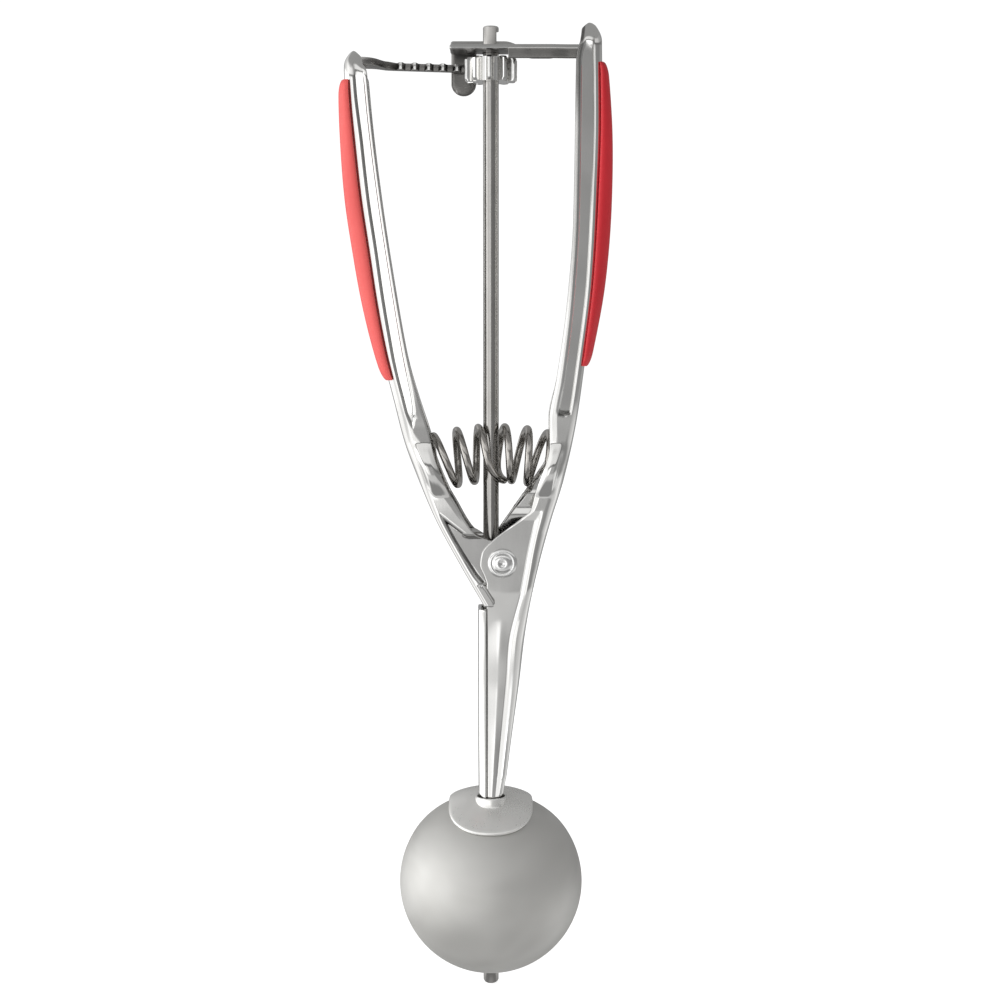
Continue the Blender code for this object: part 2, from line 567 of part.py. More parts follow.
# ---------------------------------------------------------------- bowl end
def bowl(mat):
    """Shell turned about its mouth axis, with holes for the drive and for the pin."""
    ro, ri = BOWL_R, BOWL_R - BOWL_WALL
    n = 14
    a_out = math.acos(-MOUTH_OFFSET / ro)
    a_in = math.acos(-MOUTH_OFFSET / ri)
    prof = [(ro * math.sin(a_out * k / n), -ro * math.cos(a_out * k / n)) for k in range(n + 1)]
    prof += [(ri * math.sin(a_in * k / n), -ri * math.cos(a_in * k / n)) for k in range(n, -1, -1)]
    prof[0] = (0.0, -ro)
    prof[-1] = (0.0, -ri)
    fr = bowl_frame() @ Matrix.Rotation(math.radians(-90), 4, "X")
    ob = turned("bowl", prof, mat, 40, fr)
    boolean(ob, turned("c", [(0, 15), (BOWL_TOP_HOLE_R, 15), (BOWL_TOP_HOLE_R, 24), (0, 24)], mat, 24, bowl_frame()), "DIFFERENCE")
    boolean(ob, turned("c", [(0, -24), (BOWL_PIN_HOLE_R, -24), (BOWL_PIN_HOLE_R, -15), (0, -15)], mat, 24, bowl_frame()), "DIFFERENCE")
    return ob


def bowl_collar(mat):
    """Curved plate on the bowl with an upright neck around the tube's end."""
    ri, ro = BOWL_R + COLLAR_GAP, COLLAR_R
    seg, n = 36, 4
    bm = bmesh.new()
    fr = bowl_frame()

    def reach(phi):
        c, s = math.cos(phi), math.sin(phi)
        front = s < 0
        p = 2.2 if front else 4.6
        ax, ay = 9.75, (10.9 if front else 9.3)
        return (abs(c / ax) ** p + abs(s / ay) ** p) ** (-1 / p)

    outer, inner = [], []
    for k in range(1, n + 1):
        ra, rb = [], []
        for q in range(seg):
            phi = 2 * math.pi * q / seg
            al = math.asin(min(0.95, reach(phi) / ro)) * k / n
            for ring, r in ((ra, ro), (rb, ri)):
                ring.append(bm.verts.new(fr @ Vector((r * math.sin(al) * math.cos(phi), r * math.sin(al) * math.sin(phi), r * math.cos(al)))))
        outer.append(ra)
        inner.append(rb)
    ta = bm.verts.new(fr @ Vector((0, 0, ro)))
    tb = bm.verts.new(fr @ Vector((0, 0, ri)))
    for q in range(seg):
        q1 = (q + 1) % seg
        bm.faces.new((ta, outer[0][q], outer[0][q1]))
        bm.faces.new((tb, inner[0][q1], inner[0][q]))
        for k in range(n - 1):
            bm.faces.new((outer[k][q], outer[k + 1][q], outer[k + 1][q1], outer[k][q1]))
            bm.faces.new((inner[k][q1], inner[k + 1][q1], inner[k + 1][q], inner[k][q]))
        bm.faces.new((outer[-1][q], inner[-1][q], inner[-1][q1], outer[-1][q1]))
    ob = finish("bowl_collar", bm, mat)
    neck = turned("c", [(0, 40.0), (5.0, 40.0), (4.5, 44.7), (3.9, 45.3), (NECK_R, 45.9), (NECK_R, NECK_TOP_Z), (0, NECK_TOP_Z)], mat, 28)
    rb = ri + 0.4
    ball = turned("c2", [(0.0, -rb)] + [(rb * math.sin(math.pi * k / 32), -rb * math.cos(math.pi * k / 32)) for k in range(1, 32)] + [(0.0, rb)],
                  mat, 48, fr)
    boolean(neck, ball, "DIFFERENCE")
    boolean(ob, neck, "UNION")
    boolean(ob, turned("c", [(0, 38), (NECK_BORE_R, 38), (NECK_BORE_R, 52), (0, 52)], mat, 28), "DIFFERENCE")
    return ob


def sweep_blade(mat):
    """Curved strip that follows the inside of the bowl from pole to pole, with a drive tongue on top."""
    ro, ri = BLADE_OUT_R, BLADE_OUT_R - BLADE_T
    fr = bowl_frame() @ Matrix.Rotation(math.radians(BLADE_REST_DEG), 4, "Z")
    n, m = 24, 4
    bm = bmesh.new()
    A, B = [], []
    for k in range(n + 1):
        psi = -math.radians(8.5) + (math.pi + 2 * math.radians(8.5)) * k / n
        w = 2.6 + 0.9 * math.sin(max(0.0, min(math.pi, psi)))
        ra, rb = [], []
        for q in range(m + 1):
            tt = w * (2.0 * q / m - 1)
            for ring, r in ((ra, ro), (rb, ri)):
                # strip of nearly constant width: the cross coordinate stays on the sphere
                c = math.sqrt(max(0.0, 1 - (tt / r) ** 2))
                ring.append(bm.verts.new(fr @ Vector((r * math.sin(psi) * c, tt, r * math.cos(psi) * c))))
        A.append(ra)
        B.append(rb)
    for k in range(n):
        for q in range(m):
            bm.faces.new((A[k][q], A[k + 1][q], A[k + 1][q + 1], A[k][q + 1]))
            bm.faces.new((B[k][q + 1], B[k + 1][q + 1], B[k + 1][q], B[k][q]))
        bm.faces.new((A[k][0], B[k][0], B[k + 1][0], A[k + 1][0]))
        bm.faces.new((A[k + 1][m], B[k + 1][m], B[k][m], A[k][m]))
    for k in (0, n):
        for q in range(m):
            if k == 0:
                bm.faces.new((A[0][q], A[0][q + 1], B[0][q + 1], B[0][q]))
            else:
                bm.faces.new((A[n][q + 1], A[n][q], B[n][q], B[n][q + 1]))
    origin = (BOWL_X, BOWL_Y, BOWL_Z)
    ob = finish("sweep_blade", bm, mat, origin)
    tongue = box("c", (-1.15, -0.3, ri + 0.15), (1.15, 0.3, 22.9), mat, fr)
    boolean(ob, tongue, "UNION")
    hole = turned("c", [(0, -24), (BOWL_PIN_HOLE_R, -24), (BOWL_PIN_HOLE_R, -15), (0, -15)], mat, 24, bowl_frame())
    boolean(ob, hole, "DIFFERENCE")
    return ob


def blade_pivot_pin(mat):
    prof = [(0, -PIN_TIP_S), (PIN_R - 0.25, -PIN_TIP_S), (PIN_R, -PIN_TIP_S + 0.25), (PIN_R, -18.9), (2.7, -18.9), (2.7, -18.3), (2.2, -17.9), (0, -17.8)]
    return turned("blade_pivot_pin", prof, mat, 24, bowl_frame(), (BOWL_X, BOWL_Y, BOWL_Z))


def main():
    for ob in list(bpy.data.objects):
        bpy.data.objects.remove(ob)
    steel = material("polished_steel", (0.62, 0.61, 0.59), 1.0, 0.16)
    rod_m = material("drawn_rod_steel", (0.55, 0.54, 0.52), 1.0, 0.24)
    dark = material("plated_strip_steel", (0.45, 0.44, 0.43), 1.0, 0.22)
    spring_m = material("spring_wire_steel", (0.50, 0.48, 0.46), 1.0, 0.25)
    satin = material("brushed_bowl_steel", (0.66, 0.65, 0.62), 1.0, 0.38)
    rivet_m = material("rivet_steel", (0.70, 0.70, 0.69), 1.0, 0.25)
    red = material("soft_red_cover", (0.80, 0.03, 0.04), 0.0, 0.42)

    fixed_handle(steel)
    lev = squeeze_lever(steel)
    grip("fixed_grip", 1, FIXED_WEB, FIXED_H, 145.4, 211.2, red, (0, 0, 0))
    lg = grip("lever_grip", -1, LEVER_WEB, LEVER_H, 142.3, 207.4, red, (PIVOT_X, 0, PIVOT_Z))
    rivet("pivot_rivet_front", -1, rivet_m)
    rivet("pivot_rivet_rear", 1, rivet_m)
    drive_rod(rod_m)
    pinion_gear(dark)
    toothed_rack(dark)
    gear_bracket(dark)
    return_spring(spring_m)
    bowl(satin)
    bowl_collar(steel)
    sweep_blade(satin)
    blade_pivot_pin(rod_m)


main()
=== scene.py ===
# Looks of a spring-handled scoop: bright pressed handles with red covers, a rod with
# a pinion, a toothed strip, a coil spring and a satin bowl.  Lengths below are in
# millimetres and are scaled to metres when a mesh is written; heights are counted
# from a datum 0.965 above the floor, and PLACE sets the origin under the whole outline's middle.
import math
import bpy
import bmesh
import numpy as np
from mathutils import Matrix, Vector


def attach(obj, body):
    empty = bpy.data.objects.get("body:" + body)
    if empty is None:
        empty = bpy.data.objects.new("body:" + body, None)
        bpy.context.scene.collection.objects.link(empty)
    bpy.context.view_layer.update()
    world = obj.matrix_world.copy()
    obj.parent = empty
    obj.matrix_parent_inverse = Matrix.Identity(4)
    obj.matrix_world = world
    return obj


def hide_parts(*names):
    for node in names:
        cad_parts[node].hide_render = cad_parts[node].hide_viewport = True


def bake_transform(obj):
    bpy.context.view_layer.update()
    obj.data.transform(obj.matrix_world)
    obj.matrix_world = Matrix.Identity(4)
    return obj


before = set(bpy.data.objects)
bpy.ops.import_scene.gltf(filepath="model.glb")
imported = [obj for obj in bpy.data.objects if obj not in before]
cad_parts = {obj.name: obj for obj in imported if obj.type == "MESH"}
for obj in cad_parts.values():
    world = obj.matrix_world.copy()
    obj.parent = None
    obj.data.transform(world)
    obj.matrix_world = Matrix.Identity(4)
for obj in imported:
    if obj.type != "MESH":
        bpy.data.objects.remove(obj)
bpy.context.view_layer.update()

MM = 0.001
PLACE = (3.34, -2.33, 0.965)
AT_X, AT_Y, LIFT = PLACE

# ---------------------------------------------------------------- dimensions
SHEET_T, EAR_T = 0.85, 0.75
ROD_R, ROD_Z0, ROD_Z1 = 1.75, 46.35, 220.0
ROD_SLOT_W, ROD_SLOT_TOP = 1.4, 49.6
PIVOT_X, PIVOT_Z = 2.55, 101.5
RIVET_R, RIVET_HEAD_R, RIVET_HOLE_R = 1.6, 3.3, 1.68
FIXED_EAR_OUT, LEVER_EAR_OUT = 5.5, 4.6
GEAR_TEETH, GEAR_PITCH_R, GEAR_OUT_R, GEAR_ROOT_R = 10, 5.0, 5.95, 3.85
GEAR_Z0, GEAR_Z1, GEAR_CHAMFER, GEAR_FRONT_DEG = 207.9, 213.1, 0.45, -93.0
RACK_PITCH = math.pi
RACK_Z_AT_ROD, RACK_SLOPE_DEG, RACK_T = 211.45, -1.8, 1.6
RACK_TIP_Y, RACK_ROOT_Y, RACK_BACK_Y = 4.1, 6.05, 7.45
RACK_FIRST_TOOTH_X, RACK_TOOTH_COUNT = -1.32, 7
RACK_END_X, RACK_LEFT_X = 2.9, -28.9
PLATE_T, PLATE_Z, PLATE_REAR_RISE = 1.1, 214.2, 2.1
SPRING_WIRE_R, SPRING_MEAN_R = 0.84, 6.4
SPRING_ARC_R, SPRING_ARC_X, SPRING_TOP_Z = 43.5, 1.2, 125.7
COIL = [(-0.8, -14.8), (-0.35, -13.6), (0.0, -11.2), (1.0, -6.6), (2.0, -2.2), (3.0, 2.9), (4.0, 7.35), (5.0, 11.4),
        (5.4, 13.6), (5.8, 14.9)]
BOWL_TILT = math.radians(18.0)
BOWL_R, BOWL_WALL = 21.1, 0.9
BOWL_X, BOWL_Z = -0.1, 26.05
COLLAR_GAP, COLLAR_T = 0.2, 0.8
COLLAR_R = BOWL_R + COLLAR_GAP + COLLAR_T
BOWL_Y = COLLAR_R * math.sin(BOWL_TILT)
MOUTH_OFFSET = 6.0
BOWL_TOP_HOLE_R, BOWL_PIN_HOLE_R = 2.35, 1.95
NECK_R, NECK_BORE_R, NECK_TOP_Z = 3.6, 3.1, 47.6
BLADE_OUT_R, BLADE_T, BLADE_REST_DEG = 19.85, 0.6, -8.5
PIN_R, PIN_TIP_S = 1.8, 27.9
SEAT_Z, SEAT_R = 123.6, 8.25

FIXED_WEB = [(47.1, 2.8), (61.5, 4.65), (75.0, 6.45), (84.2, 7.5), (93.2, 8.95), (102.2, 11.0), (111.1, 13.45),
             (120.1, 16.2), (133.4, 19.0), (146.7, 20.8), (164.2, 22.9), (181.5, 23.9), (198.7, 24.4), (214.9, 24.2)]
FIXED_EDGE = [(96.7, -0.95), (98.6, -1.6), (101.0, -2.5), (103.7, -2.1), (106.1, -0.2), (111.3, 6.5), (113.3, 8.8),
              (117.8, 10.0), (127.9, 13.0), (133.6, 12.9), (142.3, 14.4), (159.8, 16.75), (177.2, 18.0), (211.1, 18.5)]
FIXED_H = [(47.1, 2.8), (60.0, 2.95), (72.0, 3.6), (80.0, 4.3), (89.0, 5.0), (96.0, 6.0), (112.0, 6.0),
           (128.0, 6.6), (138.0, 7.6), (150.0, 8.4), (165.0, 8.5), (215.0, 8.5), (219.6, 6.6)]
LEVER_WEB = [(92.0, -1.6), (102.3, -7.5), (111.3, -12.3), (120.2, -16.1), (129.0, -19.3), (137.9, -21.5),
             (148.9, -24.2), (159.8, -26.2), (170.7, -27.8), (181.5, -29.4), (192.3, -30.6), (203.0, -31.6), (209.8, -32.0)]
LEVER_EDGE = [(106.4, -0.2), (108.3, -3.7), (110.7, -5.5), (114.3, -7.5), (118.0, -9.6), (124.9, -12.4), (130.1, -13.6),
              (137.9, -15.9), (146.7, -18.1), (164.2, -21.2), (181.5, -23.8), (198.7, -25.9), (208.5, -26.8)]
LEVER_H = [(92.0, 6.4), (108.0, 6.4), (128.0, 6.7), (138.0, 7.6), (150.0, 8.4), (165.0, 8.5), (208.0, 8.5), (213.6, 6.6)]


def smooth(a, b, v):
    t = min(1.0, max(0.0, (v - a) / (b - a)))
    return t * t * (3.0 - 2.0 * t)


def curve(table, v):
    """Smooth monotone reading of a (position, value) table."""
    xs = [p[0] for p in table]
    ys = [p[1] for p in table]
    n = len(xs)
    if v <= xs[0]:
        return ys[0] + (v - xs[0]) * (ys[1] - ys[0]) / (xs[1] - xs[0])
    if v >= xs[-1]:
        return ys[-1] + (v - xs[-1]) * (ys[-1] - ys[-2]) / (xs[-1] - xs[-2])
    d = [(ys[i + 1] - ys[i]) / (xs[i + 1] - xs[i]) for i in range(n - 1)]
    m = [d[0]] + [0.0 if d[i - 1] * d[i] <= 0 else 2.0 * d[i - 1] * d[i] / (d[i - 1] + d[i]) for i in range(1, n - 1)] + [d[-1]]
    i = max(k for k in range(n - 1) if xs[k] <= v)
    h = xs[i + 1] - xs[i]
    t = (v - xs[i]) / h
    return ((2 * t ** 3 - 3 * t ** 2 + 1) * ys[i] + (t ** 3 - 2 * t ** 2 + t) * h * m[i]
            + (3 * t ** 2 - 2 * t ** 3) * ys[i + 1] + (t ** 3 - t ** 2) * h * m[i + 1])


# ---------------------------------------------------------------- materials
class Graph:
    """Small helper for shader node trees."""

    def __init__(self, name):
        self.mat = bpy.data.materials.new(name)
        self.mat.use_nodes = True
        self.t = self.mat.node_tree
        self.bsdf = self.t.nodes["Principled BSDF"]
        self.coord = self.t.nodes.new("ShaderNodeTexCoord").outputs["Object"]

    def link(self, a, b):
        self.t.links.new(a, b)

    def mapped(self, scale, rot=(0, 0, 0)):
        n = self.t.nodes.new("ShaderNodeMapping")
        n.inputs["Scale"].default_value = scale
        n.inputs["Rotation"].default_value = rot
        self.link(self.coord, n.inputs["Vector"])
        return n.outputs["Vector"]

    def noise(self, vector, scale, detail=3.0, rough=0.55, distort=0.0):
        n = self.t.nodes.new("ShaderNodeTexNoise")
        n.inputs["Scale"].default_value = scale
        n.inputs["Detail"].default_value = detail
        n.inputs["Roughness"].default_value = rough
        n.inputs["Distortion"].default_value = distort
        self.link(vector, n.inputs["Vector"])
        return n.outputs["Fac"]

    def remap(self, value, lo, hi, to_lo, to_hi):
        n = self.t.nodes.new("ShaderNodeMapRange")
        n.inputs["From Min"].default_value = lo
        n.inputs["From Max"].default_value = hi
        n.inputs["To Min"].default_value = to_lo
        n.inputs["To Max"].default_value = to_hi
        self.link(value, n.inputs["Value"])
        return n.outputs["Result"]

    def math(self, op, a, b):
        n = self.t.nodes.new("ShaderNodeMath")
        n.operation = op
        for k, v in enumerate((a, b)):
            if isinstance(v, (int, float)):
                n.inputs[k].default_value = v
            else:
                self.link(v, n.inputs[k])
        return n.outputs[0]

    def mix(self, factor, a, b):
        n = self.t.nodes.new("ShaderNodeMix")
        n.data_type = "RGBA"
        if isinstance(factor, (int, float)):
            n.inputs[0].default_value = factor
        else:
            self.link(factor, n.inputs[0])
        for k, v in ((6, a), (7, b)):
            if isinstance(v, tuple):
                n.inputs[k].default_value = (v[0], v[1], v[2], 1.0)
            else:
                self.link(v, n.inputs[k])
        return n.outputs[2]

    def bump(self, height, strength, distance, normal=None):
        n = self.t.nodes.new("ShaderNodeBump")
        n.inputs["Strength"].default_value = strength
        n.inputs["Distance"].default_value = distance
        self.link(height, n.inputs["Height"])
        if normal is not None:
            self.link(normal, n.inputs["Normal"])
        return n.outputs["Normal"]

    def worn_edge(self, lo=0.52, hi=0.60):
        n = self.t.nodes.new("ShaderNodeNewGeometry")
        return self.remap(n.outputs["Pointiness"], lo, hi, 0.0, 1.0)


def metal(name, colour, dark, rough, spread=0.06, grain=(60, 60, 60), grain_bump=0.05, waviness=0.06, edge=None):
    """Metal with drifting tone, uneven polish, fine grain and rubbed edges, and shade painted into creases and recesses
    from a per-point attribute.
    """
    g = Graph(name)
    big = g.noise(g.mapped((1, 1, 1)), 95.0, 3.0, 0.5, 0.4)
    fine = g.noise(g.mapped(grain), 30.0, 4.0, 0.6)
    wave = g.noise(g.mapped((1, 1, 0.6)), 160.0, 1.0, 0.4)
    tone = g.mix(g.remap(big, 0.32, 0.68, 0.0, 1.0), dark, colour)
    if edge is not None:
        tone = g.mix(g.worn_edge(), tone, edge)
    # painted shade: the per-point attribute from the handles' crease lines darkens the colour towards near black and
    # roughens it where shade falls in creases and recesses
    at = g.t.nodes.new("ShaderNodeAttribute")
    at.attribute_name = "painted_crease_shade"
    painted_crease_shade = g.math("MULTIPLY", at.outputs["Fac"], g.remap(fine, 0.25, 0.75, 0.85, 1.0))
    tone = g.mix(painted_crease_shade, tone, (0.05, 0.048, 0.045))
    g.link(tone, g.bsdf.inputs["Base Color"])
    g.bsdf.inputs["Metallic"].default_value = 1.0
    r = g.math("ADD", g.remap(big, 0.3, 0.7, rough - spread / 2, rough + spread / 2), g.remap(fine, 0.3, 0.7, -spread / 3, spread / 3))
    r = g.math("ADD", r, g.math("MULTIPLY", painted_crease_shade, 0.12))
    g.link(r, g.bsdf.inputs["Roughness"])
    n1 = g.bump(wave, waviness, 0.0004)
    g.link(g.bump(fine, grain_bump, 0.00005, n1), g.bsdf.inputs["Normal"])
    return g.mat


def red_cover(name, deep, light):
    """Smooth satin cover; it is made twice, a paler copy that paints light and a deeper copy that paints shade on the
    same red.
    """
    g = Graph(name)
    big = g.noise(g.mapped((1, 1, 0.5)), 70.0, 3.0, 0.5)
    fine = g.noise(g.mapped((1, 1, 1)), 2600.0, 2.0, 0.5)
    speck = g.noise(g.mapped((1, 1, 1)), 700.0, 3.0, 0.7)
    tone = g.mix(g.remap(big, 0.3, 0.7, 0.0, 1.0), deep, light)
    tone = g.mix(g.math("MULTIPLY", g.worn_edge(0.53, 0.62), 0.35), tone, (0.80, 0.09, 0.08))
    g.link(tone, g.bsdf.inputs["Base Color"])
    g.link(g.math("ADD", g.remap(big, 0.3, 0.7, 0.40, 0.50), g.remap(speck, 0.35, 0.7, -0.04, 0.06)), g.bsdf.inputs["Roughness"])
    n1 = g.bump(speck, 0.10, 0.0002)
    g.link(g.bump(fine, 0.25, 0.00006, n1), g.bsdf.inputs["Normal"])
    return g.mat


def satin_bowl():
    """Tumbled satin steel with soft cloudy patches."""
    g = Graph("brushed_bowl_looks")
    cloud = g.noise(g.mapped((1, 1, 1.3)), 42.0, 2.0, 0.45, 0.6)
    mid = g.noise(g.mapped((1, 1, 1)), 150.0, 3.0, 0.5)
    fine = g.noise(g.mapped((1, 1, 1)), 3000.0, 3.0, 0.6)
    tone = g.mix(g.remap(cloud, 0.34, 0.66, 0.0, 1.0), (0.50, 0.495, 0.475), (0.62, 0.615, 0.595))
    tone = g.mix(g.math("MULTIPLY", g.worn_edge(0.53, 0.6), 0.5), tone, (0.70, 0.70, 0.68))
    g.link(tone, g.bsdf.inputs["Base Color"])
    g.bsdf.inputs["Metallic"].default_value = 0.7
    g.link(g.math("ADD", g.remap(cloud, 0.3, 0.7, 0.46, 0.56), g.remap(mid, 0.3, 0.7, -0.03, 0.03)), g.bsdf.inputs["Roughness"])
    n1 = g.bump(cloud, 0.22, 0.0016)
    g.link(g.bump(fine, 0.12, 0.00003, n1), g.bsdf.inputs["Normal"])
    return g.mat


def pale_surface(name, colour, glow):
    g = Graph(name)
    n = g.noise(g.mapped((1, 1, 1)), 14.0, 3.0, 0.5)
    k = 0.97
    g.link(g.mix(g.remap(n, 0.3, 0.7, 0.0, 1.0), tuple(c * k for c in colour), colour), g.bsdf.inputs["Base Color"])
    g.bsdf.inputs["Roughness"].default_value = 0.9
    g.bsdf.inputs["Specular IOR Level"].default_value = 0.0
    g.bsdf.inputs["Emission Color"].default_value = (1.0, 1.0, 1.0, 1.0)
    g.bsdf.inputs["Emission Strength"].default_value = glow
    return g.mat


# ---------------------------------------------------------------- mesh helpers
def place(name, verts, faces, mats, body, stands_for=(), sharp=32.0, shade=None):
    mesh = bpy.data.meshes.new(name)
    mesh.from_pydata([((x + AT_X) * MM, (y + AT_Y) * MM, (z + LIFT) * MM) for x, y, z in verts], [], faces)
    # per-point painted shade for creases and recesses, read by the metal's colour
    if shade is not None:
        mesh.attributes.new("painted_crease_shade", "FLOAT", "POINT").data.foreach_set("value", shade)
    bm = bmesh.new()
    bm.from_mesh(mesh)
    bmesh.ops.remove_doubles(bm, verts=bm.verts, dist=2e-7)
    bmesh.ops.dissolve_degenerate(bm, edges=bm.edges, dist=1e-8)
    bmesh.ops.recalc_face_normals(bm, faces=bm.faces)
    if bm.calc_volume(signed=True) < 0:
        bmesh.ops.reverse_faces(bm, faces=bm.faces)
    bm.to_mesh(mesh)
    bm.free()
    ob = bpy.data.objects.new(name, mesh)
    bpy.context.scene.collection.objects.link(ob)
    for m in (mats if isinstance(mats, (list, tuple)) else [mats]):
        mesh.materials.append(m)
    tidy(ob, sharp)
    if body is not None:
        settle(ob, body, stands_for)
    return ob


def tidy(ob, sharp=32.0):
    ob.data.shade_smooth()
    ob.data.set_sharp_from_angle(angle=math.radians(sharp))


def settle(ob, body, stands_for=()):
    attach(ob, body)
    if stands_for:
        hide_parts(*stands_for)


def boolean(ob, cutter, operation="DIFFERENCE", sharp=32.0):
    mod = ob.modifiers.new("cut", "BOOLEAN")
    mod.operation = operation
    mod.solver = "EXACT"
    mod.object = cutter
    dg = bpy.context.evaluated_depsgraph_get()
    new = bpy.data.meshes.new_from_object(ob.evaluated_get(dg))
    ob.modifiers.remove(mod)
    old = ob.data
    ob.data = new
    bpy.data.meshes.remove(old)
    bpy.data.objects.remove(cutter)
    bm = bmesh.new()
    bm.from_mesh(ob.data)
    bmesh.ops.remove_doubles(bm, verts=bm.verts, dist=1e-6)
    bmesh.ops.dissolve_degenerate(bm, edges=bm.edges, dist=1e-7)
    bm.to_mesh(ob.data)
    bm.free()
    tidy(ob, sharp)


def sheet(name, P, T, keep, mats, body, stands_for=(), sharp=40.0, marks=None):
    """Pressed sheet: P is the grid of its middle surface, T its thickness, keep its cells of metal."""
    P = np.array(P, float)
    T = np.array(T, float)
    keep = np.array(keep, bool)
    nj, ni = P.shape[:2]
    N = np.cross(np.gradient(P, axis=1), np.gradient(P, axis=0))
    N /= np.maximum(np.linalg.norm(N, axis=2, keepdims=True), 1e-9)
    verts = list(map(tuple, (P + N * (T / 2)[:, :, None]).reshape(-1, 3))) + list(map(tuple, (P - N * (T / 2)[:, :, None]).reshape(-1, 3)))
    off = nj * ni
    faces = []

    def cell(j, i):
        return 0 <= j < nj - 1 and 0 <= i < ni - 1 and keep[j][i]

    for j in range(nj - 1):
        for i in range(ni - 1):
            if not keep[j][i]:
                continue
            a, b, c, d = j * ni + i, j * ni + i + 1, (j + 1) * ni + i + 1, (j + 1) * ni + i
            faces.append((a, b, c, d))
            faces.append((a + off, d + off, c + off, b + off))
            if not cell(j - 1, i):
                faces.append((b, a, a + off, b + off))
            if not cell(j + 1, i):
                faces.append((d, c, c + off, d + off))
            if not cell(j, i - 1):
                faces.append((a, d, d + off, a + off))
            if not cell(j, i + 1):
                faces.append((c, b, b + off, c + off))
    used = sorted({v for f in faces for v in f})
    at = {v: k for k, v in enumerate(used)}
    shade = None
    if marks is not None:
        flat = np.array(marks, float).reshape(-1)
        flat = np.concatenate([flat, flat])
        shade = [float(flat[v]) for v in used]
    return place(name, [verts[v] for v in used], [tuple(at[v] for v in f) for f in faces], mats, body, stands_for, sharp, shade)


def turned_data(profile, segments, matrix=None):
    """Vertices and faces of a solid of revolution from a closed loop of (radius, height)."""
    verts, rings = [], []
    for r, h in profile:
        if r < 1e-6:
            rings.append([len(verts)])
            verts.append(Vector((0, 0, h)))
        else:
            rings.append(list(range(len(verts), len(verts) + segments)))
            verts += [Vector((r * math.cos(2 * math.pi * k / segments), r * math.sin(2 * math.pi * k / segments), h)) for k in range(segments)]
    faces = []
    n = len(rings)
    for q in range(n):
        r0, r1 = rings[q], rings[(q + 1) % n]
        for k in range(segments):
            k1 = (k + 1) % segments
            if len(r0) == 1 and len(r1) == 1:
                continue
            if len(r0) == 1:
                faces.append((r0[0], r1[k1], r1[k]))
            elif len(r1) == 1:
                faces.append((r0[k], r0[k1], r1[0]))
            else:
                faces.append((r0[k], r0[k1], r1[k1], r1[k]))
    if matrix is not None:
        verts = [matrix @ v for v in verts]
    return [tuple(v) for v in verts], faces


def turned(name, profile, mats, segments=96, matrix=None, body=None, stands_for=(), sharp=32.0):
    v, f = turned_data(profile, segments, matrix)
    return place(name, v, f, mats, body, stands_for, sharp)


def block(lo, hi, matrix=None):
    c = [(x, y, z) for z in (lo[2], hi[2]) for x, y in ((lo[0], lo[1]), (hi[0], lo[1]), (hi[0], hi[1]), (lo[0], hi[1]))]
    if matrix is not None:
        c = [tuple(matrix @ Vector(p)) for p in c]
    f = [(3, 2, 1, 0), (4, 5, 6, 7), (0, 1, 5, 4), (1, 2, 6, 5), (2, 3, 7, 6), (3, 0, 4, 7)]
    return place("cutter", c, f, [], None)


def across_y(x, z):
    return Matrix.Translation((x, 0, z)) @ Matrix.Rotation(math.radians(-90), 4, "X")


def bowl_frame():
    return Matrix.Translation((BOWL_X, BOWL_Y, BOWL_Z)) @ Matrix.Rotation(BOWL_TILT, 4, "X")


def spaced(stops):
    """Rows from (start, end, step) runs."""
    out = []
    for a, b, s in stops:
        n = max(1, int(round((b - a) / s)))
        out += [a + (b - a) * k / n for k in range(n)]
    out.append(stops[-1][1])
    return out


# ---------------------------------------------------------------- handles
EDGE_STEPS = (0.0, 0.04, 0.11, 0.21, 0.34)
EDGE_FADE = (0.30, 0.62, 0.84, 0.96, 1.0)
N_FACE, N_CORNER, N_WEB = 36, 7, 7


def face_columns(width, rc, lip, bead, ramp):
    """Distances from the web's outer face of the columns across one flange, free edge first."""
    inner = [bead + ramp * k for k in (1.6, 1.25, 1.0, 0.85, 0.7, 0.5, 0.3, 0.15, 0.0, -0.3)]
    wide = [width - e for e in EDGE_STEPS]
    rest = N_FACE - len(wide) - len(inner)
    a, b = width - EDGE_STEPS[-1], inner[0]
    lip = max(lip, EDGE_STEPS[-1] + 0.15)
    marks = [width - lip + 0.12, width - lip, width - lip - 0.12, width - lip - 0.3]
    n1 = 3
    seg = [a + (marks[0] - a) * (k + 1) / (n1 + 1) for k in range(n1)] + marks
    n2 = rest - len(seg)
    seg += [marks[-1] + (b - marks[-1]) * (k + 1) / (n2 + 1) for k in range(n2)]
    wide = wide + seg + inner
    plain = [width - e for e in EDGE_STEPS] + [width - EDGE_STEPS[-1] + (rc + 0.02 - width + EDGE_STEPS[-1]) * (k + 1) / (N_FACE - len(EDGE_STEPS))
                                              for k in range(N_FACE - len(EDGE_STEPS))]
    need = lip + 0.42 + bead + 1.6 * ramp + 0.3
    w = smooth(need, need + 0.8, width)
    us = [w * p + (1 - w) * q for p, q in zip(wide, plain)]
    return [max(u, rc + 1e-3 * (N_FACE - k)) for k, u in enumerate(us)]


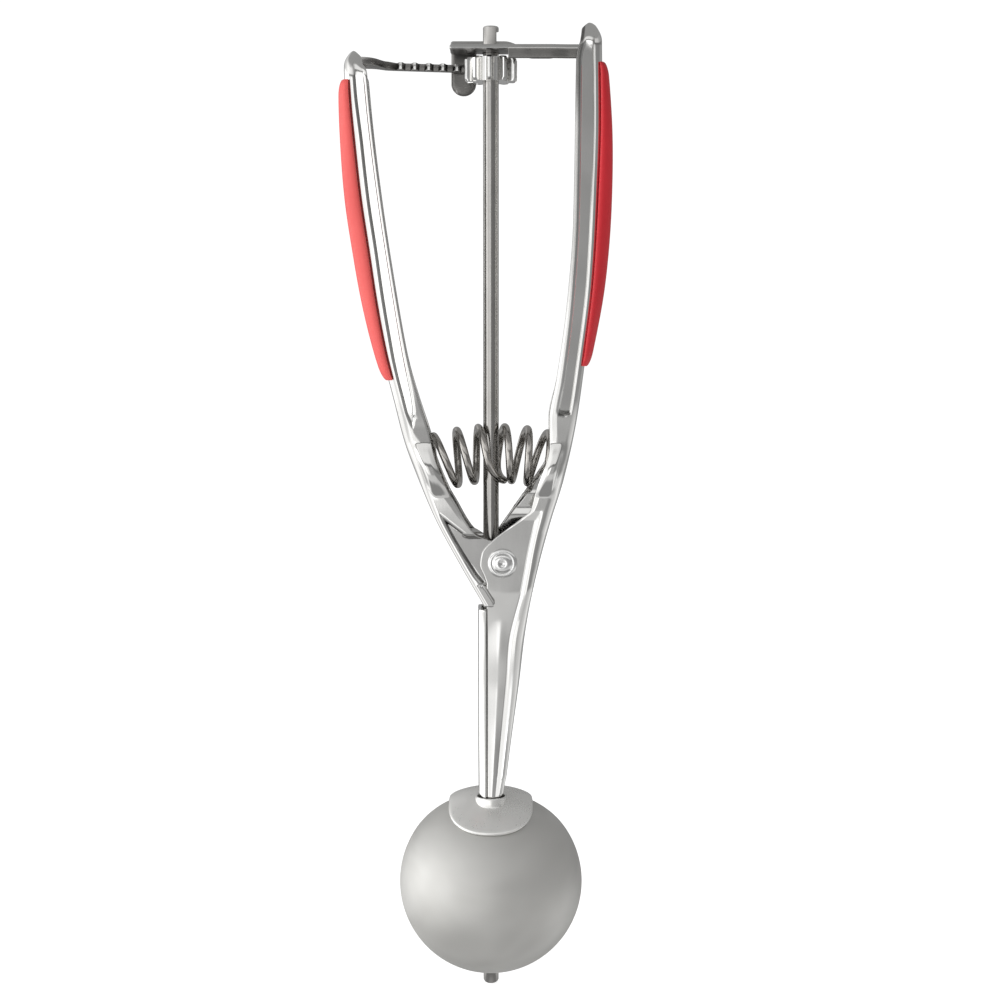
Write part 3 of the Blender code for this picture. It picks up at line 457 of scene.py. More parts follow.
def section(z, side, xw, xe, xr, h, t, rc, lip, bead, ramp, inset, mark):
    """Middle line of a channel section, front free edge round the web to the rear free edge, with
    thickness and the painted shade of the pressed creases."""
    rc = max(t + 0.1, min(rc, 0.7 * max(1.35, abs(xw - xe)), bead - 0.02))
    bead = max(bead, rc + 0.02)

    def flange(edge):
        width = max(1.35, abs(xw - edge), rc + 0.3)
        us = face_columns(width, rc, lip, bead, ramp)
        pts = [(u, -(h - t / 2 - inset(u, z, width))) for u in us]
        th = [t * (EDGE_FADE[k] if k < len(EDGE_FADE) else 1.0) for k in range(len(us))]
        mk = [mark(u, z, width) for u in us]
        y_end = inset(us[-1], z, width)
        for k in range(1, N_CORNER + 1):
            a = math.pi / 2 * k / N_CORNER
            pts.append((rc - (rc - t / 2) * math.sin(a), -(h - rc) - (rc - t / 2) * math.cos(a) + y_end * (1 - k / N_CORNER)))
            th.append(t)
            mk.append(0.0)
        return pts, th, mk

    front, rear = flange(xe), flange(xr)
    web = [(t / 2, -(h - rc) * (1 - 2.0 * k / N_WEB)) for k in range(1, N_WEB)]
    full = front[0] + web + [(u, -y) for u, y in reversed(rear[0])]
    th = front[1] + [t] * len(web) + list(reversed(rear[1]))
    mk = front[2] + [0.0] * len(web) + list(reversed(rear[2]))
    return [(xw - side * u, y) for u, y in full], th, mk


def peak(x, z, at, left, right, start, end):
    """Height change that brings a handle's flat end to a soft point at x = at."""
    d = (at - x) / left if x < at else (x - at) / right
    return (0.45 - 1.7 * min(1.0, d) ** 1.4) * smooth(start, end, z)


def rear_set_back(z):
    return 0.65 * smooth(128.0, 150.0, z)


def seat(z, h, u, width, near):
    """Outward swell of the flange round the spring's end."""
    d = (z - SEAT_Z + 1.2) / 6.2
    return max(0.0, SEAT_R - h) * max(0.0, 1 - d * d) ** 1.5 * smooth(near, near + 1.3, u)


LEVER_BEAD = [(92.0, 2.35), (96.5, 2.1), (99.0, 1.55), (104.0, 1.45), (112.0, 1.45), (118.0, 1.7), (131.0, 2.7), (133.0, 2.35), (135.5, 1.9), (141.0, 1.9),
              (153.0, 2.25), (175.0, 2.4), (193.0, 2.4), (205.0, 2.05), (213.0, 1.9)]
LEVER_LIP = [(106.0, 0.1), (112.0, 1.2), (118.0, 1.9), (128.0, 2.2), (131.0, 3.3), (133.5, 2.3), (136.0, 1.45), (140.0, 0.95), (148.0, 0.6), (165.0, 0.42), (213.0, 0.4)]


def lever_bead(z):
    return curve(LEVER_BEAD, z), 0.42 + 0.5 * (1 - smooth(98, 108, z))


def lever_lip(z):
    return curve(LEVER_LIP, z)


def lever_panel(u, z, width):
    """How far inside the pressed panel a point lies, 0 to 1."""
    bead, ramp = lever_bead(z)
    lip = lever_lip(z)
    inside = smooth(bead, bead + ramp, u) * (1 - smooth(width - lip - 0.35, width - lip, u))
    top = 211.0 - 0.35 * abs(u - 2.9)
    return inside * smooth(131.3, 133.2, z) * (1 - smooth(top - 3.2, top, z))


def lever_inset(u, z, width):
    h = curve(LEVER_H, z)
    bead, ramp = lever_bead(z)
    lip = lever_lip(z)
    s = (0.52 - 0.05 * (u - bead)) * lever_panel(u, z, width)
    # step down to the ear, just above the pivot plates
    step = max(108.2, 111.9 - 1.3 * (u - 2.2))
    s += 1.8 * smooth(bead, bead + ramp, u) * (1 - smooth(step - 1.3, step, z))
    s -= 0.012 * max(0.0, u - 1.6) * smooth(112, 115, z) * (1 - smooth(134, 138, z))
    # free edge turned inward
    v = u - (width - lip)
    if v > 0:
        s += v * 0.06 * smooth(110.5, 113, z) * (1 - smooth(134, 142, z))
    s -= seat(z, h, u, width, 1.5) * (1 - smooth(width - min(lip, 1.2), width, u) * 0.3)
    return s


# Painted shade, 0 to 1: dark lines along the panel's bead and inner edge, the ear step and the foot of the pointed end
def lever_painted_shade(u, z, width):
    bead, ramp = lever_bead(z)
    lip = lever_lip(z)
    line = smooth(bead - 0.05, bead + 0.1, u) * (1 - smooth(bead + ramp, bead + ramp + 0.2, u))
    far = smooth(width - lip - 0.5, width - lip - 0.3, u) * (1 - smooth(width - lip, width - lip + 0.15, u))
    v = 0.42 * max(line * smooth(132, 134, z) * (1 - smooth(210.0, 211.0, z)), 0.2 * far * smooth(134.0, 138.0, z) * (1 - smooth(142, 150, z)))
    v = max(v, 0.55 * line * smooth(96, 98, z) * (1 - smooth(110.5, 112, z)))
    v = max(v, 0.26 * smooth(bead + ramp - 0.1, bead + ramp + 0.3, u) * (1 - smooth(107.0, 110.5, z)))
    # foot of the pointed end, a painted shade line
    v = max(v, 0.45 * smooth(131.4, 132.0, z) * (1 - smooth(132.8, 134.0, z)) * smooth(bead, bead + 0.2, u) * (1 - smooth(width - lip - 0.2, width - lip, u)))
    return v


def lever_edge(z):
    if z <= 106.3:
        return PIVOT_X + math.sqrt(max(0.0, 5.2 ** 2 - (z - PIVOT_Z) ** 2))
    return curve(LEVER_EDGE, z)


def squeeze_lever(mat):
    rows = spaced([(91.7, 93.1, 0.1), (93.1, 96.2, 0.35), (96.2, 97.4, 0.2), (97.4, 105.6, 0.6), (105.6, 108.4, 0.22), (108.4, 114.5, 0.3),
                   (114.5, 117.5, 0.5), (117.5, 130.0, 0.4), (130.0, 140.5, 0.3), (140.5, 203.0, 1.6), (203.0, 212.6, 0.35), (212.6, 213.3, 0.1)])
    P, T, G, keep = [], [], [], []
    for z in rows:
        xw = curve(LEVER_WEB, z) if z <= 209.8 else -32.0 + 1.9 * (max(0.0, z - 210.4) / 2.9) ** 3
        xe = lever_edge(z) if z <= 208.5 else -26.8 - 1.4 * smooth(208.5, 213.4, z)
        if z < 97.4:
            # the rolled strip ends in a round tip below the ear
            tip = 2.75 if z > 93.1 else 1.35 + 1.4 * math.sqrt(max(0.0, 1 - ((93.1 - z) / 1.45) ** 2))
            xe = xw + tip + (xe - xw - tip) * smooth(96.2, 97.4, z)
        h = curve(LEVER_H, z)
        t = SHEET_T - (SHEET_T - EAR_T) * (1 - smooth(108, 122, z))
        rc = 1.0 + 0.9 * smooth(110.0, 124.0, z)
        bead, ramp = lever_bead(z)
        end = min(z - 91.7, 213.3 - z)
        fade = 0.35 + 0.65 * math.sqrt(min(1.0, max(0.0, end) / 0.4))
        pts, th, mk = section(z, -1, xw, xe, xe - rear_set_back(z), h, t, rc, max(0.4, lever_lip(z)), bead, ramp, lever_inset, lever_painted_shade)
        P.append([(x, y, z + peak(x, z, -29.9, 3.2, 2.0, 208.5, 213.3)) for x, y in pts])
        T.append([v * fade for v in th])
        G.append(mk)
        n = len(pts) - 1
        row = []
        for i in range(n):
            mid_web = N_FACE + N_CORNER - 1 <= i < N_FACE + N_CORNER + N_WEB - 1
            row.append(not (z < 96.2 and mid_web))
        keep.append(row)
    return sheet("squeeze_lever_pressing", P, T, keep, mat, "lever", ["squeeze_lever"], marks=G)


FIXED_BEAD = [(47.0, 0.75), (60.0, 1.2), (72.0, 1.7), (84.0, 2.2), (90.0, 1.8), (95.0, 1.45), (99.0, 1.6), (103.0, 1.9), (110.0, 2.3), (114.0, 2.4),
              (124.0, 1.9), (134.0, 1.45), (150.0, 1.35), (190.0, 1.6), (219.0, 1.6)]
FIXED_LIP = [(106.0, 0.1), (112.0, 0.7), (120.0, 1.3), (132.0, 1.75), (138.0, 1.6), (145.0, 1.4), (175.0, 0.95), (195.0, 0.9), (219.0, 0.85)]


def fixed_bead(z):
    return curve(FIXED_BEAD, z), 0.42 + 0.8 * (1 - smooth(111, 119, z))


def fixed_lip(z):
    return curve(FIXED_LIP, z)


def fixed_panel(u, z, width):
    bead, ramp = fixed_bead(z)
    lip = fixed_lip(z)
    inside = smooth(bead, bead + ramp, u) * (1 - smooth(width - lip - 0.3, width - lip, u))
    low = 134.3 + 0.35 * abs(u - 2.9)
    top = 216.6 - 0.4 * abs(u - 3.6)
    return inside * smooth(low, low + 0.9, z) * (1 - smooth(top - 2.4, top, z))


def fixed_inset(u, z, width):
    h = curve(FIXED_H, z)
    bead, ramp = fixed_bead(z)
    lip = fixed_lip(z)
    s = (0.52 - 0.05 * (u - bead)) * fixed_panel(u, z, width)
    # ear and tube: front face set back from the rolled right side
    s += 0.5 * smooth(bead, bead + ramp, u) * (1 - smooth(110.8, 113.6, z)) * (0.6 + 0.4 * smooth(55, 92, z))
    v = u - (width - lip)
    if v > 0:
        s += v * (0.05 + 0.2 * (1 - smooth(118.0, 126.0, z))) * smooth(107.0, 113.0, z)
    s -= seat(z, h, u, width, 1.5) * (1 - smooth(width - min(lip, 1.2), width, u) * 0.3)
    return s


# Painted shade, 0 to 1: dark lines along the panel's bead, a band along the inner edge, the panel's lower end and the
# ear's set-back face
def fixed_painted_shade(u, z, width):
    bead, ramp = fixed_bead(z)
    lip = fixed_lip(z)
    line = smooth(bead - 0.05, bead + 0.08, u) * (1 - smooth(bead + ramp, bead + ramp + 0.2, u))
    v = 0.85 * line * smooth(168, 190, z) * (1 - smooth(215.5, 216.6, z))
    v = max(v, 0.35 * line * smooth(134, 136, z) * (1 - smooth(170, 190, z)))
    # dark band along the inner edge, darker towards the top: painted shade
    band = smooth(width - lip - 0.1, width - lip + 0.1, u)
    v = max(v, band * (0.42 + 0.4 * smooth(196, 208, z)) * smooth(150, 175, z))
    # ends of the pressed panel, a painted shade line
    end = smooth(134.1, 134.6, z) * (1 - smooth(135.3, 135.9, z)) * smooth(bead, bead + 0.3, u) * (1 - smooth(width - lip - 0.3, width - lip, u))
    v = max(v, 0.9 * end)
    # thin painted shade line beside the set-back face of the ear
    foot = smooth(bead + ramp - 0.25, bead + ramp, u) * (1 - smooth(bead + ramp, bead + ramp + 0.35, u))
    v = max(v, 0.45 * foot * (1 - smooth(108, 111, z)))
    return v


def fixed_handle(mat):
    rows = spaced([(47.1, 47.7, 0.15), (47.7, 53.0, 0.6), (53.0, 90.4, 1.2), (90.4, 91.0, 0.12), (91.0, 96.0, 0.6), (96.0, 110.5, 0.4),
                   (110.5, 115.5, 0.3), (115.5, 130.0, 0.4), (130.0, 140.0, 0.3), (140.0, 206.0, 1.6), (206.0, 218.6, 0.35), (218.6, 219.3, 0.1)])
    P, T, G, keep = [], [], [], []
    for z in rows:
        xw = curve(FIXED_WEB, z) if z <= 214.9 else 24.2 - 1.65 * (max(0.0, z - 215.9) / 3.4) ** 2.5
        if z < 94:
            xe = -0.95
        elif z < 96.7:
            xe = -0.95 + (-1.1 + 0.95) * (z - 94) / 2.7
        elif z <= 211.1:
            xe = curve(FIXED_EDGE, z)
        else:
            xe = 18.5 + 1.35 * smooth(211.1, 219.4, z)
        h = curve(FIXED_H, z)
        t = SHEET_T - (SHEET_T - EAR_T) * (1 - smooth(108, 122, z))
        bead, ramp = fixed_bead(z)
        rc = min(2.2, bead - 0.02)
        xr = xe + rear_set_back(z)
        if 105.8 < z < 126:
            xr = min(xe, -0.26 + 0.71 * (z - 105.8))
        pts, th, mk = section(z, 1, xw, xe, xr, h, t, rc, max(0.45, fixed_lip(z)), bead, ramp, fixed_inset, fixed_painted_shade)
        tube = 1 - smooth(84, 97, z)
        # the tube's front is slightly crowned, so its left side rolls towards the seam
        if tube > 0:
            for k in range(N_FACE):
                x, y = pts[k]
                d = (x - (xe + 0.62 * (xw - bead - ramp - xe))) / max(1.0, 0.62 * (xw - bead - ramp - xe))
                if d < 0:
                    pts[k] = (x, y + tube * 0.50 * min(1.0, -d) ** 1.8)
                else:
                    pts[k] = (x, y + tube * 0.16 * min(1.0, d / 0.6) ** 2)
        xl = -2.88 - 0.05 * smooth(50, 60, z)
        rl = min(2.45 - 0.3 * smooth(52, 70, z), h - 0.3)
        n_rear = N_FACE
        if z <= 94:
            xc = pts[-n_rear - 1][0]
            yb = h - t / 2
            for k in range(n_rear):
                pts[len(pts) - n_rear + k] = (xc + (xl + rl + 0.3 - xc) * (k + 1) / n_rear, yb)
                th[len(pts) - n_rear + k] = t
        rear_x, rear_y = pts[-1]
        yr = abs(rear_y) + t / 2
        extra, eth = [(xl + rl, rear_y)], [t]
        for k in range(1, 9):
            a = math.pi / 2 * k / 8
            extra.append((xl + rl - (rl - t / 2) * math.sin(a), (yr - rl) + (rl - t / 2) * math.cos(a)))
            eth.append(t)
        for k in range(1, 4):
            extra.append((xl + t / 2, (yr - rl) * (1 - k / 2.0)))
            eth.append(t)
        last = math.acos((xl + rl + 1.02) / (rl - t / 2))
        steps = [0.0, 0.2, 0.38, 0.55, 0.70, 0.82, 0.90, 0.955, 0.985, 1.0]
        fades = [1, 1, 1, 1, 1, 1, 1, 0.9, 0.65, 0.35]
        for k, f in zip(steps[1:], fades[1:]):
            a = last * k
            extra.append((xl + rl - (rl - t / 2) * math.cos(a), -(yr - rl) - (rl - t / 2) * math.sin(a)))
            eth.append(t * f)
        if z > 94:
            extra = [(rear_x - 0.2 * (k + 1), rear_y) for k in range(len(extra))]
        row = pts + extra
        drop_end = 1 - smooth(47.1, 53, z)
        end = min(z - 47.1, 219.3 - z)
        fade = 0.35 + 0.65 * math.sqrt(min(1.0, max(0.0, end) / 0.4))
        wrap_end = 1.0
        if z < 91.0:
            wrap_end = 0.35 + 0.65 * math.sqrt(min(1.0, max(0.0, 91.0 - z) / 0.4))
        P.append([(x, y, z + 1.9 * drop_end * (abs(x + 0.05) / 2.8) ** 3 + peak(x, z, 21.4, 1.9, 3.6, 213.5, 219.3)) for x, y in row])
        T.append([v * fade for v in th] + [v * fade * wrap_end for v in eth])
        G.append(mk + [0.0] * len(extra))
        keep.append([True] * (len(pts) - 1) + [z < 90.95] * len(extra))
    return sheet("fixed_handle_pressing", P, T, keep, mat, "frame", ["fixed_handle"], marks=G)


def grip(name, side, web, htab, z0, z1, lap_deg, mat, body, node):
    """Soft cover lapped over the outside of a handle, fullest in the middle."""
    gap, n_corner, n_web, n = 0.3, 12, 12, 72
    P, T = [], []
    for j in range(n + 1):
        f = 0.5 - 0.5 * math.cos(math.pi * j / n)
        z = z0 + (z1 - z0) * f
        thick = 0.95 + 1.4 * max(0.0, math.sin(math.pi * min(1, max(0, f)))) ** 0.9
        d = min(f, 1 - f) * (z1 - z0)
        end = math.sqrt(max(0.0, 1 - (1 - min(1.0, d / 3.2)) ** 2))
        thick = max(0.12, 0.12 + (thick - 0.12) * end)
        lap = 1.1 * (0.12 + 0.88 * end)
        xw, h = curve(web, z), curve(htab, z)
        rc = 1.9
        pts, th = [], []
        for k in range(n_corner + 1):
            a = math.radians(lap_deg) + math.radians(90.0 - lap_deg) * k / n_corner
            w = smooth(0, 1, k / n_corner)
            tt = lap + (thick - lap) * w
            # the lap's own edge is rounded
            e = min(1.0, 0.25 + 0.75 * math.sqrt(min(1.0, k / 3.0)))
            pts.append((rc - (rc + gap + tt / 2) * math.sin(a), -(h - rc) - (rc + gap + tt / 2) * math.cos(a)))
            th.append(tt * e)
        n0 = len(pts)
        for k in range(1, n_web):
            pts.append((-(gap + thick / 2), -(h - rc) * (1 - 2.0 * k / n_web)))
            th.append(thick)
        pts += [(u, -y) for u, y in reversed(pts[:n0])]
        th += list(reversed(th[:n0]))
        P.append([(xw - side * u, y, z) for u, y in pts])
        T.append(th)
    keep = [[True] * (len(P[0]) - 1) for _ in range(n + 1)]
    return sheet(name, P, T, keep, mat, body, [node], sharp=50)


# ---------------------------------------------------------------- drive parts
def rivet(name, sgn, mat, node):
    y1 = FIXED_EAR_OUT + 0.06
    y0 = LEVER_EAR_OUT - EAR_T - 0.15
    prof = [(0, y0 - 0.75), (2.1, y0 - 0.75), (2.32, y0 - 0.66), (2.4, y0 - 0.5), (2.4, y0), (RIVET_R, y0), (RIVET_R, y1), (3.22, y1),
            (3.3, y1 + 0.07), (3.3, y1 + 0.26), (3.24, y1 + 0.38), (3.08, y1 + 0.50), (2.85, y1 + 0.60), (2.62, y1 + 0.655), (2.45, y1 + 0.63),
            (2.32, y1 + 0.56), (2.22, y1 + 0.58), (2.12, y1 + 0.70), (1.95, y1 + 0.86), (1.65, y1 + 0.98), (1.3, y1 + 1.05), (0.95, y1 + 1.07),
            (0.7, y1 + 1.03), (0.45, y1 + 0.93), (0.2, y1 + 0.88), (0, y1 + 0.87)]
    fr = across_y(PIVOT_X, PIVOT_Z)
    if sgn < 0:
        fr = fr @ Matrix.Rotation(math.pi, 4, "X")
    return turned(name, prof, mat, 96, fr, "frame", [node], sharp=50)


def drive_rod(mat):
    z0, z1 = ROD_Z0, ROD_Z1
    prof = [(0, z0), (ROD_R - 0.2, z0), (ROD_R - 0.06, z0 + 0.06), (ROD_R, z0 + 0.2)]
    prof += [(ROD_R, z0 + 0.2 + (z1 - z0 - 0.6) * k / 24) for k in range(1, 24)]
    prof += [(ROD_R, z1 - 0.4), (ROD_R - 0.1, z1 - 0.14), (ROD_R - 0.34, z1), (0.5, z1 - 0.02), (0, z1 - 0.06)]
    ob = turned("drive_rod_turned", prof, mat, 96)
    boolean(ob, block((-3, -ROD_SLOT_W / 2, z0 - 1), (3, ROD_SLOT_W / 2, ROD_SLOT_TOP), Matrix.Rotation(math.radians(BLADE_REST_DEG), 4, "Z")))
    boolean(ob, block((1.25, -3, 216.6), (3, 3, 218.9)))
    settle(ob, "rod", ["drive_rod"])
    return ob


def pinion_gear(mat):
    """Ten broad teeth with rounded flanks and chamfered ends."""
    shape = [(-14.0, 3.86), (-11.6, 3.92), (-10.2, 4.10), (-9.2, 4.38), (-8.2, 4.72), (-7.2, 5.05), (-6.3, 5.35), (-5.4, 5.62), (-4.5, 5.82),
             (-3.5, 5.93), (-2.0, 5.95), (0.0, 5.95)]
    shape = shape + [(-a, r) for a, r in reversed(shape[:-1])]
    outline = []
    for k in range(GEAR_TEETH):
        c = GEAR_FRONT_DEG + k * 360.0 / GEAR_TEETH
        for da, r in shape:
            a = math.radians(c + da)
            outline.append((r, a))
    bore = ROD_R + 0.1
    z0, z1, ch = GEAR_Z0, GEAR_Z1, GEAR_CHAMFER
    levels = [(z0, 0), (z0 + 0.03, 0.35), (z0 + ch, 1), (z0 + ch + 0.06, 1.02), (z1 - ch - 0.06, 1.02), (z1 - ch, 1), (z1 - 0.03, 0.35), (z1, 0)]
    verts, faces, loops = [], [], []
    n = len(outline)
    for z, k in levels:
        loops.append(list(range(len(verts), len(verts) + n)))
        for r, a in outline:
            cut = 0.0 if k >= 1 else (0.62 if k < 0.1 else 0.50)
            # the end chamfer is a cone, so it bites the tips and spares the roots
            rr = min(r, GEAR_OUT_R - cut) if k < 1 else r
            verts.append((rr * math.cos(a), rr * math.sin(a), z))
    for lo, hi in zip(loops[:-1], loops[1:]):
        for q in range(n):
            faces.append((lo[q], lo[(q + 1) % n], hi[(q + 1) % n], hi[q]))
    inner = []
    for z, r in ((z0, bore + 0.12), (z0 + 0.12, bore), (z1 - 0.12, bore), (z1, bore + 0.12)):
        inner.append(list(range(len(verts), len(verts) + n)))
        for _, a in outline:
            verts.append((r * math.cos(a), r * math.sin(a), z))
    for lo, hi in zip(inner[:-1], inner[1:]):
        for q in range(n):
            faces.append((hi[q], hi[(q + 1) % n], lo[(q + 1) % n], lo[q]))
    for q in range(n):
        faces.append((loops[0][(q + 1) % n], loops[0][q], inner[0][q], inner[0][(q + 1) % n]))
        faces.append((loops[-1][q], loops[-1][(q + 1) % n], inner[-1][(q + 1) % n], inner[-1][q]))
    return place("pinion_toothed", verts, faces, mat, "rod", ["pinion_gear"], sharp=28)


def rack_z(x):
    return RACK_Z_AT_ROD + x * math.tan(math.radians(RACK_SLOPE_DEG))


def toothed_rack(faces_mat, edge_and_shade_mat):
    """Toothed strip with a broad foot; the darker material covers its sheared side faces and, as painted shade, its
    whole toothed part except the tooth tips facing front.
    """
    outline = [(RACK_LEFT_X, 5.4), (RACK_LEFT_X, -2.2), (-27.9, -2.2), (-27.0, -1.95), (-26.2, -1.35), (-25.5, -0.45), (-24.9, 0.75), (-24.4, 2.0),
               (-23.9, 3.1), (-23.4, 3.8), (-22.8, RACK_TIP_Y)]
    for k in range(RACK_TOOTH_COUNT - 1, -2, -1):
        c = RACK_FIRST_TOOTH_X - RACK_PITCH * k
        for dx, y in ((-1.02, RACK_ROOT_Y), (-0.86, RACK_ROOT_Y - 0.18), (-0.40, RACK_TIP_Y + 0.14), (-0.26, RACK_TIP_Y), (0.26, RACK_TIP_Y),
                      (0.40, RACK_TIP_Y + 0.14), (0.86, RACK_ROOT_Y - 0.18), (1.02, RACK_ROOT_Y)):
            if c + dx < RACK_END_X - 0.05:
                outline.append((c + dx, y))
    outline += [(RACK_END_X, RACK_ROOT_Y), (RACK_END_X, RACK_BACK_Y), (-22.4, RACK_BACK_Y), (-23.6, 7.2), (-24.6, 6.4), (-25.6, 5.6), (-26.4, 5.4)]
    # outline corners as a fine prism with rolled rims
    t = RACK_T / 2
    z_of = [(-t, 0.10), (-t + 0.03, 0.03), (-t + 0.10, 0.0), (0.0, 0.0), (t - 0.10, 0.0), (t - 0.03, 0.03), (t, 0.10)]
    bm = bmesh.new()
    fr = Matrix.Translation((0, 0, RACK_Z_AT_ROD)) @ Matrix.Rotation(math.radians(-RACK_SLOPE_DEG), 4, "Y")
    pts = np.array(outline)
    nxt, prv = np.roll(pts, -1, axis=0), np.roll(pts, 1, axis=0)
    e1, e2 = nxt - pts, pts - prv
    n1 = np.stack([e1[:, 1], -e1[:, 0]], 1) / np.maximum(np.linalg.norm(e1, axis=1, keepdims=True), 1e-9)
    n2 = np.stack([e2[:, 1], -e2[:, 0]], 1) / np.maximum(np.linalg.norm(e2, axis=1, keepdims=True), 1e-9)
    nn = n1 + n2
    nn /= np.maximum(np.linalg.norm(nn, axis=1, keepdims=True), 1e-9)
    area = 0.5 * np.sum(pts[:, 0] * nxt[:, 1] - nxt[:, 0] * pts[:, 1])
    out = 1.0 if area > 0 else -1.0
    verts, faces, loops = [], [], []
    for z, ins in z_of:
        loops.append(list(range(len(verts), len(verts) + len(pts))))
        for p, m in zip(pts, nn):
            q = p - m * ins * out
            verts.append(tuple(fr @ Vector((q[0], q[1], z))))
    n = len(pts)
    for lo, hi in zip(loops[:-1], loops[1:]):
        for q in range(n):
            faces.append((lo[q], lo[(q + 1) % n], hi[(q + 1) % n], hi[q]))
    faces.append(tuple(reversed(loops[0])))
    faces.append(tuple(loops[-1]))
    bm.free()
    ob = place("toothed_rack_strip", verts, faces, [faces_mat, edge_and_shade_mat], "lever", ["toothed_rack"], sharp=30)
    # darker material on side faces and the toothed part, front tooth tips left bright: sheared edges and painted shade
    for p in ob.data.polygons:
        tip = p.normal.y < -0.9 and p.center.y < (RACK_TIP_Y + AT_Y + 0.1) * MM and p.center.x > (AT_X - 22.8) * MM
        if (abs(p.normal.z) < 0.6 or p.center.x > (AT_X - 22.8) * MM) and not tip:
            p.material_index = 1
    return ob


def gear_bracket(faces_mat, edge_and_shade_mat):
    """Strap over the pinion with a hanging front flange and a rear tab behind the rack."""
    t, z = PLATE_T, PLATE_Z
    xs = [-8.95, -8.9, -8.75, -8.5] + spaced([(-8.2, -4.2, 0.25), (-4.2, -3.3, 0.15), (-3.3, 3.5, 0.4), (3.5, 4.1, 0.15), (4.1, 21.5, 0.4), (21.5, 21.8, 0.1)])
    P, T, keep = [], [], []
    for x in xs:
        zr = z + PLATE_REAR_RISE * (1 - smooth(3.0, 9.5, x))
        k = 1 - 0.30 * smooth(13.0, 17.2, x)
        f = 0.35 * smooth(13.0, 17.2, x)
        yf = -6.65 + f
        path = [(yf, z - 2.0), (yf, z - 1.95), (yf, z - 1.85), (yf, z - 1.6), (yf, z - 1.0), (yf, z - 0.4), (yf, z + 0.02), (yf + 0.08, z + 0.28),
                (yf + 0.27, z + 0.47), (yf + 0.55, z + t / 2)]
        path += [(yf + 0.55 + (1.9 - yf - 0.55) * q / 10, z + t / 2) for q in range(1, 11)]
        path += [(1.9 + (3.9 - 1.9) * q / 8, z + t / 2 + (zr - z) * smooth(0, 1, q / 8)) for q in range(1, 9)]
        yb = 7.9 * k
        path += [(3.9 + (yb - 3.9) * q / 5, zr + t / 2) for q in range(1, 6)]
        path += [(yb + 0.45 * k, zr + 0.42), (yb + 0.75 * k, zr + 0.1), (8.8 * k, zr - 0.3), (8.8 * k, zr - 0.8)]
        m = len(path)
        bottom = 205.9
        if x <= -3.3:
            s = min(1.0, abs(x + 6.15) / 2.85)
            bottom = 205.9 + 2.85 * (1 - math.sqrt(max(0.0, 1 - s ** 2)))
        top = zr - 0.8
        path += [(8.8, top + (bottom - top) * q) for q in (0.15, 0.3, 0.45, 0.6, 0.75, 0.9, 0.96, 0.985, 1.0)]
        th = [t * v for v in (0.35, 0.6, 0.85)] + [t] * (len(path) - 6) + [t * v for v in (0.85, 0.6, 0.35)]
        side = 1.0
        d = min(x + 8.95, 21.8 - x)
        if d < 0.45:
            side = 0.35 + 0.65 * math.sqrt(max(0.0, d) / 0.45)
        P.append([(x, yy, zz) for yy, zz in path])
        T.append([v * side for v in th])
        row = []
        for i in range(len(path) - 1):
            metal_here = True
            if i < 6 and x < 3.7:
                metal_here = False
            if i >= m - 4 and x >= -3.35:
                metal_here = False
            row.append(metal_here)
        keep.append(row)
    ob = sheet("gear_bracket_strap", P, T, keep, [faces_mat, edge_and_shade_mat], None, sharp=35)
    v, f = turned_data([(0, z - 2), (ROD_R + 0.25, z - 2), (ROD_R + 0.25, z + 3), (0, z + 3)], 64)
    boolean(ob, place("cutter", v, f, [], None), sharp=35)
    # rear tab, hanging front flange and faces turned down take the darker material: painted shade
    for p in ob.data.polygons:
        if p.center.y > (AT_Y + 7.8) * MM or (p.center.y < (AT_Y - 5.5) * MM and p.center.z < (PLATE_Z + LIFT - 0.05) * MM) or p.normal.z < -0.5:
            p.material_index = 1
    settle(ob, "frame", ["gear_bracket"])
    return ob


def return_spring(mat):
    t0, t1 = COIL[0][0], COIL[-1][0]
    n = int((t1 - t0) * 72)
    centre = []
    for k in range(n + 1):
        turn = t0 + (t1 - t0) * k / n
        a = math.asin((curve(COIL, turn) - SPRING_ARC_X) / SPRING_ARC_R)
        th = 2 * math.pi * turn
        cx = SPRING_ARC_X + SPRING_ARC_R * math.sin(a)
        cz = SPRING_TOP_Z - SPRING_ARC_R * (1 - math.cos(a))
        rad = SPRING_MEAN_R * math.cos(th)
        x = cx + rad * math.sin(a)
        y = -SPRING_MEAN_R * math.sin(th)
        zz = cz + rad * math.cos(a)
        clear = ROD_R + SPRING_WIRE_R + 0.33
        if abs(y) < 4.8:
            need = clear * math.cos(math.pi / 2 * min(1.0, abs(y) / 4.8)) ** 0.6
            sg = 1.0 if x > -0.6 else -1.0
            if abs(x) < need + 0.6:
                x = sg * max(abs(x) if x * sg > 0 else 0.0, need)
        centre.append(Vector((x, y, zz)))
    for _ in range(34):
        new = [centre[0]] + [(centre[k - 1] + 2 * centre[k] + centre[k + 1]) / 4 for k in range(1, n)] + [centre[-1]]
        for k in range(n + 1):
            d = math.hypot(new[k].x, new[k].y)
            lim = ROD_R + SPRING_WIRE_R + 0.3
            if d < lim:
                new[k].x *= lim / d
                new[k].y *= lim / d
        centre = new
    sides = 20
    verts, faces, rings = [], [], []
    up = Vector((1, 0, 0))
    for k in range(n + 1):
        tan = (centre[min(n, k + 1)] - centre[max(0, k - 1)]).normalized()
        u = (up - tan * up.dot(tan)).normalized()
        v = tan.cross(u)
        rings.append(list(range(len(verts), len(verts) + sides)))
        for s in range(sides):
            w = SPRING_WIRE_R * (math.cos(2 * math.pi * s / sides) * u + math.sin(2 * math.pi * s / sides) * v)
            verts.append(tuple(centre[k] + w))
    for r0, r1 in zip(rings[:-1], rings[1:]):
        for s in range(sides):
            faces.append((r0[s], r0[(s + 1) % sides], r1[(s + 1) % sides], r1[s]))
    faces.append(tuple(reversed(rings[0])))
    faces.append(tuple(rings[-1]))
    ob = place("return_spring_coil", verts, faces, mat, None, sharp=45)
    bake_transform(ob)
    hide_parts("return_spring")
    return ob


